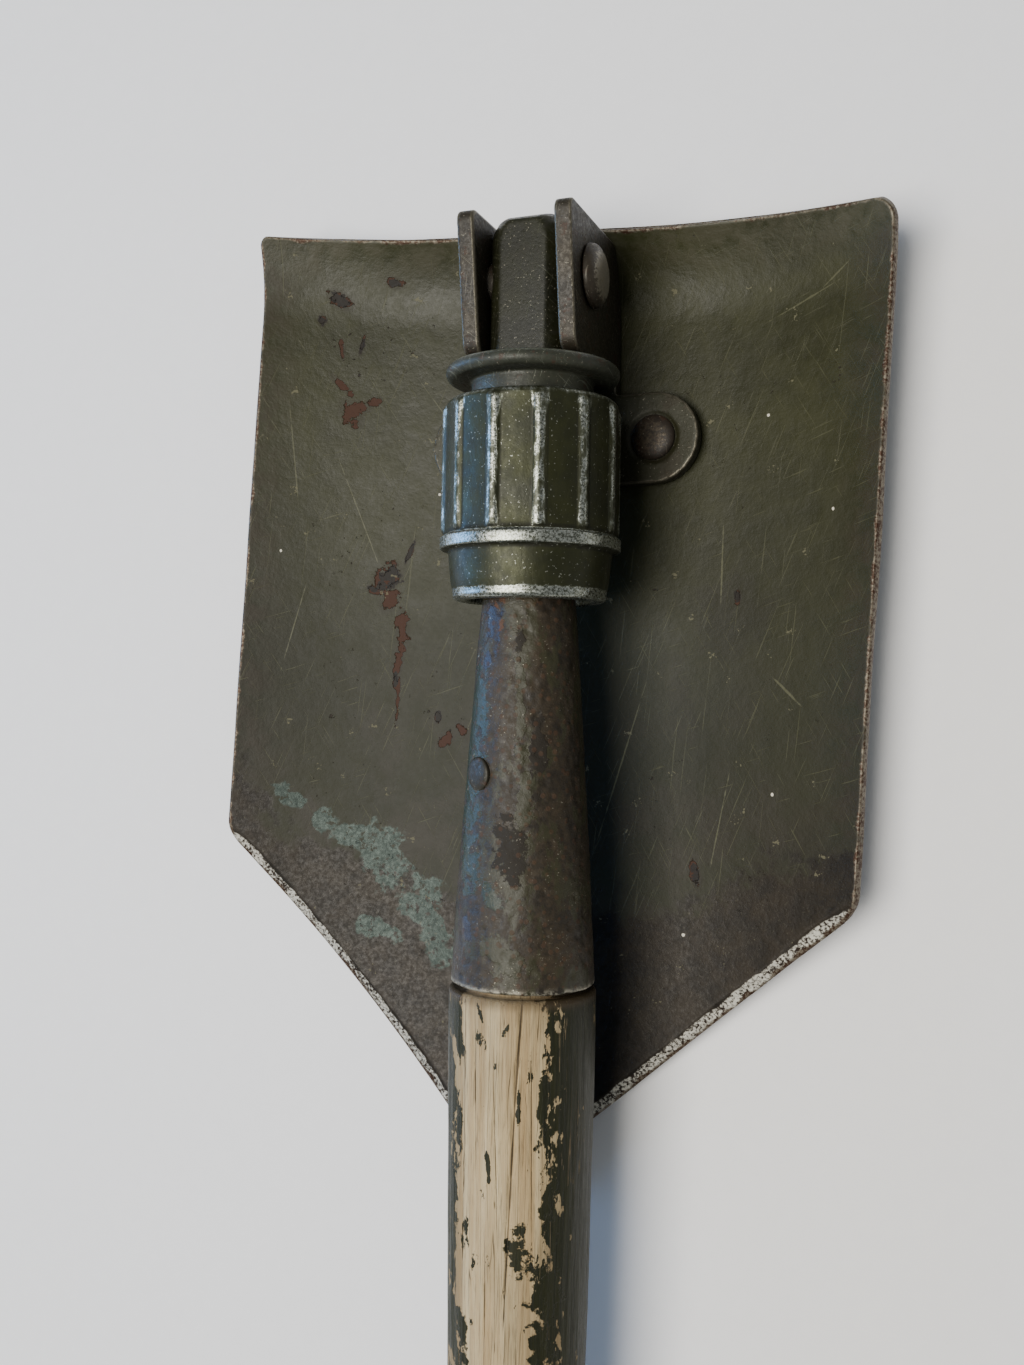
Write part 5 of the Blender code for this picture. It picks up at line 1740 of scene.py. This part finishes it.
@dataclass
class LockingNut:
    """Ribbed sleeve with a band, a skirt and an inner thread."""

    ribs: int = 12
    first_rib: float = math.radians(-4.7)
    radius: float = 0.0199
    panel: float = 0.0190
    rib_height: float = 0.00075
    rib_half: float = 0.00062
    rib_fillet: float = 0.00105
    rib_length: float = 0.0300
    top_round: float = 0.0023
    shoulder: float = 0.0018
    foot_fillet: float = 0.0009
    band: float = 0.0027
    band_edge: float = 0.0004
    skirt: float = 0.0180
    skirt_height: float = 0.0112
    skirt_bore: float = 0.0139
    counterbore: float = 0.0150
    counter_depth: float = 0.0070
    groove_gap: float = 0.0003
    groove_half: float = 0.0011
    thread_start: float = 0.0100
    thread_length: float = 0.0120
    thread_radius: float = 0.01175
    thread_depth: float = 0.0011
    thread_step: float = 0.0005
    pitch: float = 0.0040
    row_step: float = 0.0008
    hidden_row_step: float = 0.0016
    segments: int = 432

    def outer(self, top: float) -> Profile:
        """Outside from the counterbore's lip to the skirt's rim."""
        band_top = top - self.rib_length
        band_end = band_top - self.band
        end = band_end - self.skirt_height
        points = [(self.counterbore + 0.0003, top), (self.radius - self.top_round - 0.0006, top)]
        points += arc_profile((self.panel - 0.0017, top - self.shoulder), self.shoulder, 78, 12, 10)
        points += [(self.panel, top - 0.0026), (self.panel, band_top + 0.0012)]
        fillet = self.foot_fillet
        points += arc_profile((self.panel + fillet, band_top + 0.0008), fillet, 180, 246, 5)
        corner, edge = self.radius - self.band_edge, self.band_edge
        points += arc_profile((corner, band_top - edge), edge, 80, 10, 5)
        points += arc_profile((corner, band_end + edge), edge, -10, -80, 5)
        points += [(self.skirt + 0.0004, band_end - 0.00005), (self.skirt + 0.00005, band_end - 0.0005)]
        points += [(self.skirt - 0.0006, end + 0.0042), (self.skirt - 0.0011, end + 0.0018)]
        points += arc_profile((self.skirt - 0.0023, end + 0.0013), 0.0012, 8, -78, 8)
        return points + [(self.skirt_bore + 0.0009, end), (self.skirt_bore, end + 0.0006)]

    def inner(self, top: float) -> Profile:
        """Inside from the thread's upper end to the counterbore's lip."""
        floor = top - self.counter_depth
        crest = self.thread_radius + self.thread_depth
        low, high = span("retaining_ring")
        groove = (high.x - low.x) / 2 + self.groove_gap
        level = (low.y + high.y) / 2
        half = self.groove_half
        points = [(crest, top - self.thread_start + 0.0008), (crest, floor), (self.counterbore, floor)]
        points += [(self.counterbore, level - half), (groove, level - half), (groove, level + half)]
        return points + [(self.counterbore, level + half), (self.counterbore, top - 0.0003)]

    def thread(self, top: float) -> np.ndarray:
        """Rings of the inner thread, from its lower end up.

        Args:
            top: level of the nut's upper end.

        Returns:
            An array of rings, points and coordinates.
        """
        count = round(self.thread_length / self.thread_step)
        upper = top - self.thread_start
        levels = np.linspace(upper - self.thread_length, upper, count + 1)
        angle = np.linspace(0, 2 * math.pi, self.segments, endpoint=False)
        wave = self.thread_depth / 2 * np.cos(2 * math.pi * levels[:, None] / self.pitch - angle[None, :])
        radius = self.thread_radius + wave
        up = levels[:, None] + 0 * radius
        return np.stack([radius * np.sin(angle), up, radius * np.cos(angle)], axis=-1)

    def make(self) -> None:
        """Turn the sleeve, raise its ribs, mark its wear and dress it."""
        top = span("locking_nut")[1].y
        outer = turned_points(filled_profile(self.outer(top), self.row_step), self.segments)
        thread = self.thread(top)
        lead = turned_points([(self.skirt_bore, thread[0, 0, 1] - 0.0012)], self.segments)
        inner = turned_points(filled_profile(self.inner(top), self.hidden_row_step), self.segments)
        points = np.concatenate([outer, lead, thread, inner])
        piece = turned_piece("ribbed_sleeve", points, True)
        self.mark(piece, top)
        rib_tool().apply(piece, {
            "Ribs": self.ribs, "First rib": self.first_rib, "Radius": self.panel, "Height": self.rib_height,
            "Half width": self.rib_half, "Fillet": self.rib_fillet, "Panel flatness": 0.55, "Waver": 0.00022,
            "Finish": NutFinish().build("worn_nut_alloy"),
        })
        settle(piece, Body.NUT, Slot.NUT, "locking_nut")

    def mark(self, piece: Piece, top: float) -> None:
        """Mark where the ribs stand, where the paint has gone, and where grime and painted crease shade sit.

        Args:
            piece: the turned sleeve.
            top: level of its upper end.
        """
        out, level, around = round_places(piece.data)
        drop = top - level
        outside = out > self.panel - 0.0019
        sleeve = smooth(0.0006, 0.0024, drop)
        sleeve = sleeve * smooth(self.rib_length - 0.0002, self.rib_length - 0.0016, drop)
        write_mark(piece.data, Mark.RELIEF, sleeve * outside)
        step = 2 * math.pi / self.ribs
        angle = around - self.first_rib
        arc = np.abs(angle - np.round(angle / step) * step) * self.panel
        flare = 0.0011 * smooth(0.008, 0.001, drop) + 0.0004 * smooth(0.020, 0.030, drop)
        rib = sleeve * smooth(0.00175, 0.00075, arc - flare)
        band_end = self.rib_length + self.band
        band = smooth(self.rib_length - 0.0009, self.rib_length - 0.0001, drop)
        band = band * smooth(band_end + 0.0003, band_end - 0.0002, drop)
        end = band_end + self.skirt_height
        rim = smooth(end - 0.0034, end - 0.0018, drop)
        edge = 0.55 * smooth(0.0026, 0.0006, drop)
        bare = np.maximum.reduce([rib * 0.62, band * 0.82, rim * 0.98, edge])
        shown = outside | (drop > self.rib_length)
        write_mark(piece.data, Mark.BARE, np.where(shown, np.maximum(bare, 0.1), 0.1))
        # Rim mark: the rib feet and the band's upper and lower joints, where grime and painted crease shade
        # go.
        foot = sleeve * smooth(0.0006, 0.0, np.abs(arc - 0.00175))
        under = smooth(0.0012, 0.0, np.abs(drop - (band_end + 0.0004)))
        over = smooth(0.0012, 0.0, np.abs(drop - (self.rib_length - 0.0009)))
        write_mark(piece.data, Mark.RIM, np.maximum.reduce([0.75 * foot, under, over * 0.85]))


@dataclass
class Ferrule:
    """Tapered socket tube, rust-pitted, with its cross rivet."""

    top_radius: float = 0.0096
    end_radius: float = 0.0157
    belly: float = 0.0003
    wall: float = 0.0022
    lip: float = 0.0006
    row_step: float = 0.00055
    segments: int = 184
    rivet_below_end: float = 0.0453
    rivet_angle: float = math.radians(-32)
    rivet_head: float = 0.0036
    rivet_dome: float = 0.0008

    def outside(self, y: float) -> float:
        """Outer radius at a level."""
        low, high = span("ferrule")
        share = (high.y - y) / (high.y - low.y)
        taper = (self.end_radius - self.top_radius) * share
        return self.top_radius + taper + self.belly * 4 * share * (1 - share)

    def make(self) -> None:
        """Turn the tube, pit it and dress it."""
        low, high = span("ferrule")
        top, end = high.y, low.y
        levels = np.linspace(top - self.lip, end + self.lip, round((top - end) / self.row_step))
        profile = [(self.outside(top) - self.wall, top), (self.outside(top) - self.lip, top)]
        profile += arc_profile((self.outside(top) - self.lip, top - self.lip), self.lip, 75, 15, 4)
        profile += [(self.outside(y), y) for y in levels]
        profile += arc_profile((self.outside(end) - self.lip, end + self.lip), self.lip, -15, -75, 4)
        profile += [(self.outside(end) - self.lip, end), (self.outside(end) - self.wall, end)]
        inside = np.linspace(end, top, 18)[1:-1]
        profile += [(self.outside(y) - self.wall, y) for y in inside]
        piece = turned_piece("ferrule_tube", turned_points(profile, self.segments), True)
        out, level, _ = round_places(piece.data)
        skin = np.array([self.outside(y) for y in level])
        write_mark(piece.data, Mark.RELIEF, smooth(-0.0012, -0.0004, out - skin))
        upper, lower = smooth(top - 0.0016, top - 0.0004, level), smooth(end + 0.0014, end + 0.0003, level)
        write_mark(piece.data, Mark.WORN, 0.7 * np.maximum(upper, lower))
        finish = FerruleFinish().build("pitted_ferrule")
        grain = (0.00042, (0.0019, 0.0024, 0.0019))
        weather(piece, finish, (0.0005, (0.012, 0.02, 0.012)), grain, (0.00022, 0.0031))
        settle(piece, Body.SHAFT, Slot.FERRULE, "ferrule")
        self.make_rivet(end + self.rivet_below_end)

    def make_rivet(self, level: float) -> None:
        """Turn the cross rivet, a low head on each side of the tube.

        Args:
            level: where the rivet crosses the tube.
        """
        skin = self.outside(level) - 0.0002
        head, under = self.rivet_head, skin - 0.001
        half = [(head * 0.7, under), (head, under), (head, skin)]
        half += dome_profile(head, skin + 0.0002, self.rivet_dome, 16, 0.9)
        points = turned_points(mirrored(half), 72)[..., [0, 2, 1]]
        turn = np.array(Matrix.Rotation(self.rivet_angle, 3, "Y"))
        points = points @ turn.T + np.array([0.0, level, 0.0])
        piece = turned_piece("cross_rivet", points, False)
        write_mark(piece.data, Mark.WORN, np.full(len(piece.data.vertices), 0.12))
        steel = BrownedSteel(
            base=linear(36, 34, 25), light=linear(48, 44, 34),
            worn=linear(84, 80, 68), seed=63.0,
        )
        dress(piece, steel.build("cross_rivet_steel"))
        settle(piece, Body.SHAFT, Slot.RIVET, "handle_rivet")


@dataclass
class Handle:
    """Turned ash handle with a waist, a swelling butt and drying cracks."""

    head_radius: float = 0.0161
    waist_drop: float = 0.0019
    knob_rise: float = 0.0026
    knob_share: float = 0.92
    dome_share: float = 0.05
    tenon_radius: float = 0.0131
    shoulder: float = 0.0012
    crowding: float = 0.45
    segments: int = 288
    row_step: float = 0.0013
    crack_depth: float = 0.0007

    def radius(self, share: float) -> float:
        """Radius at a share of the handle's length, up to the knob.

        Args:
            share: 0 at the ferrule, 1 at the butt.

        Returns:
            The radius.
        """
        if share <= 0.5:
            return self.head_radius - self.waist_drop * math.sin(math.pi * share) ** 1.4
        swell = math.sin(min((share - 0.5) / (self.knob_share - 0.5), 1) * math.pi / 2) ** 2
        return self.head_radius - self.waist_drop + self.knob_rise * swell

    def profile(self, head: float, end: float, tenon: float) -> Profile:
        """(radius, y) from the tenon to the butt.

        Args:
            head: level of the wood's shoulder.
            end: level of the butt.
            tenon: level of the tenon's end.

        Returns:
            The profile's points.
        """
        length = head - end
        points = [(0.0098, tenon), (self.tenon_radius, head + 0.0004), (self.tenon_radius, head)]
        corner = (self.head_radius - self.shoulder, head - self.shoulder)
        points += arc_profile(corner, self.shoulder, 88, 8, 8)
        body_end = end + length * self.dome_share
        levels = np.linspace(head - 0.0016, body_end, round((head - body_end) / self.row_step))
        points += [(self.radius((head - y) / length), y) for y in levels]
        knob = self.radius(self.knob_share)
        for turn in np.radians(np.linspace(4, 88, 20)):
            points.append((knob * math.cos(turn), body_end - length * self.dome_share * math.sin(turn)))
        return points

    def make(self) -> None:
        """Turn the handle, crack it, raise its grain and dress it."""
        low, high = span("handle")
        head = span("ferrule")[0].y - 0.0010
        profile = self.profile(head, low.y, high.y)
        even = np.linspace(0, 2 * math.pi, self.segments, endpoint=False)
        angle = even - self.crowding * np.sin(even)
        rows = np.array(profile)
        radius = rows[:, :1] - self.crack_at(rows, angle)
        level = rows[:, 1:] + 0 * radius
        points = np.stack([radius * np.sin(angle), level, radius * np.cos(angle)], axis=-1)
        piece = turned_piece("ash_handle", points, False)
        relief = smooth(head, head - 0.0008, rows[:, 1])
        write_mark(piece.data, Mark.RELIEF, np.repeat(relief, self.segments))
        finish = WeatheredAsh().build("weathered_ash")
        weather(piece, finish, (0.0006, (0.010, 0.035, 0.010)), (0.00032, (0.0014, 0.030, 0.0014)))
        settle(piece, Body.SHAFT, Slot.WOOD, "handle")

    def crack_at(self, rows: np.ndarray, angle: np.ndarray) -> np.ndarray:
        """Depth of the main cracks at each point of the turned skin.

        Args:
            rows: radius and level of each ring.
            angle: angle of each point on a ring.

        Returns:
            One depth for each point.
        """
        centred = (angle + math.pi) % (2 * math.pi) - math.pi
        arc = centred[None, :] * WeatheredAsh.radius
        level = rows[:, 1:] / MM
        depth = np.zeros((len(rows), len(angle)))
        for crack in WeatheredAsh.cracks:
            turn = math.radians(crack.turn)
            wander = 0.22 * np.sin(level * 0.42 + crack.y) + 0.12 * np.sin(level * 1.3)
            u = (arc - crack.x) * math.cos(turn) + (level - crack.y) * math.sin(turn) + wander
            v = -(arc - crack.x) * math.sin(turn) + (level - crack.y) * math.cos(turn)
            width = crack.half_width + 0.12
            share = np.exp(-((u / width) ** 2)) * np.clip(1 - (v / crack.half_length) ** 2, 0, 1)
            depth = np.maximum(depth, share * self.crack_depth * min(1.0, crack.half_width / 0.26))
        return depth


@dataclass
class Studio:
    """Pale floor, soft light and the camera."""

    floor_size: float = 3.0
    floor_lines: int = 25
    floor_gap: float = 0.0002
    camera_place: tuple = (0.09999, -0.09139, 0.26753)
    camera_turn: tuple = (1.641, 21.18, 1.064)
    lens: float = 34.28
    shift: float = -0.0116
    sky: float = 0.27
    key: float = 10.0
    fill: float = 8.0

    def floor(self) -> None:
        """A broad pale sheet under the blade."""
        half, count = self.floor_size / 2, self.floor_lines
        level = -PIVOT.z - self.floor_gap
        steps = np.linspace(-half, half, count)
        points = np.array([(x, y, level) for y in steps for x in steps])
        index = np.arange(count * count).reshape(count, count)
        quads = np.stack([index[:-1, :-1], index[:-1, 1:], index[1:, 1:], index[1:, :-1]], axis=-1)
        piece = make_piece("studio_floor", points, quads.reshape(-1, 4).tolist())
        dress(piece, floor_finish())

    def area(self, name: str, place: tuple, target: tuple, size: tuple, power: float, shade: tuple) -> None:
        """One soft rectangular light.

        Args:
            name: the light's name.
            place: where it hangs, from the pivot.
            target: what it faces, from the pivot.
            size: its width and height.
            power: watts.
            shade: linear colour.
        """
        light = bpy.data.lights.new(name, "AREA")
        light.shape = "RECTANGLE"
        light.size, light.size_y = size
        light.energy = power
        light.color = shade
        lamp = bpy.data.objects.new(name, light)
        lamp.location = PIVOT + Vector(place)
        lamp.rotation_euler = (Vector(target) - Vector(place)).to_track_quat("-Z", "Y").to_euler()
        bpy.context.scene.collection.objects.link(lamp)

    def lights(self) -> None:
        """Warm overhead softbox, cool window on the left, and a dim room."""
        middle = (0.0, -0.09, 0.0)
        self.area("overhead", (-0.16, -0.13, 0.80), middle, (0.5, 0.5), self.key, (1.0, 0.96, 0.89))
        self.area("left_window", (-1.0, 0.05, 0.16), middle, (0.4, 0.7), self.fill, (0.22, 0.48, 1.0))
        world = bpy.data.worlds.new("room")
        world.use_nodes = True
        background = world.node_tree.nodes["Background"]
        background.inputs["Color"].default_value = (0.92, 0.96, 1.0, 1.0)
        background.inputs["Strength"].default_value = self.sky
        bpy.context.scene.world = world

    def camera(self) -> None:
        """The camera, close over the handle's side and tipped towards the blade."""
        lens = bpy.data.cameras.new("camera")
        lens.lens = self.lens
        lens.shift_y = self.shift
        lens.clip_start = 0.005
        view = bpy.data.objects.new("camera", lens)
        view.location = PIVOT + Vector(self.camera_place)
        view.rotation_euler = tuple(math.radians(a) for a in self.camera_turn)
        bpy.context.scene.collection.objects.link(view)
        bpy.context.scene.camera = view

    def make(self) -> None:
        """Set up the whole studio."""
        self.floor()
        self.lights()
        self.camera()


def main() -> None:
    """Build every piece in order, then the studio."""
    logging.basicConfig(level=logging.INFO, format="%(name)s: %(message)s")
    blade = Blade()
    for part in (
        blade, BladeRivets(blade), BRACKET, NECK, PivotRivet(), ThrustRing(), RetainingRing(), LockingNut(),
        Ferrule(), Handle(), Studio(),
    ):
        part.make()


if __name__ == "__main__":
    main()
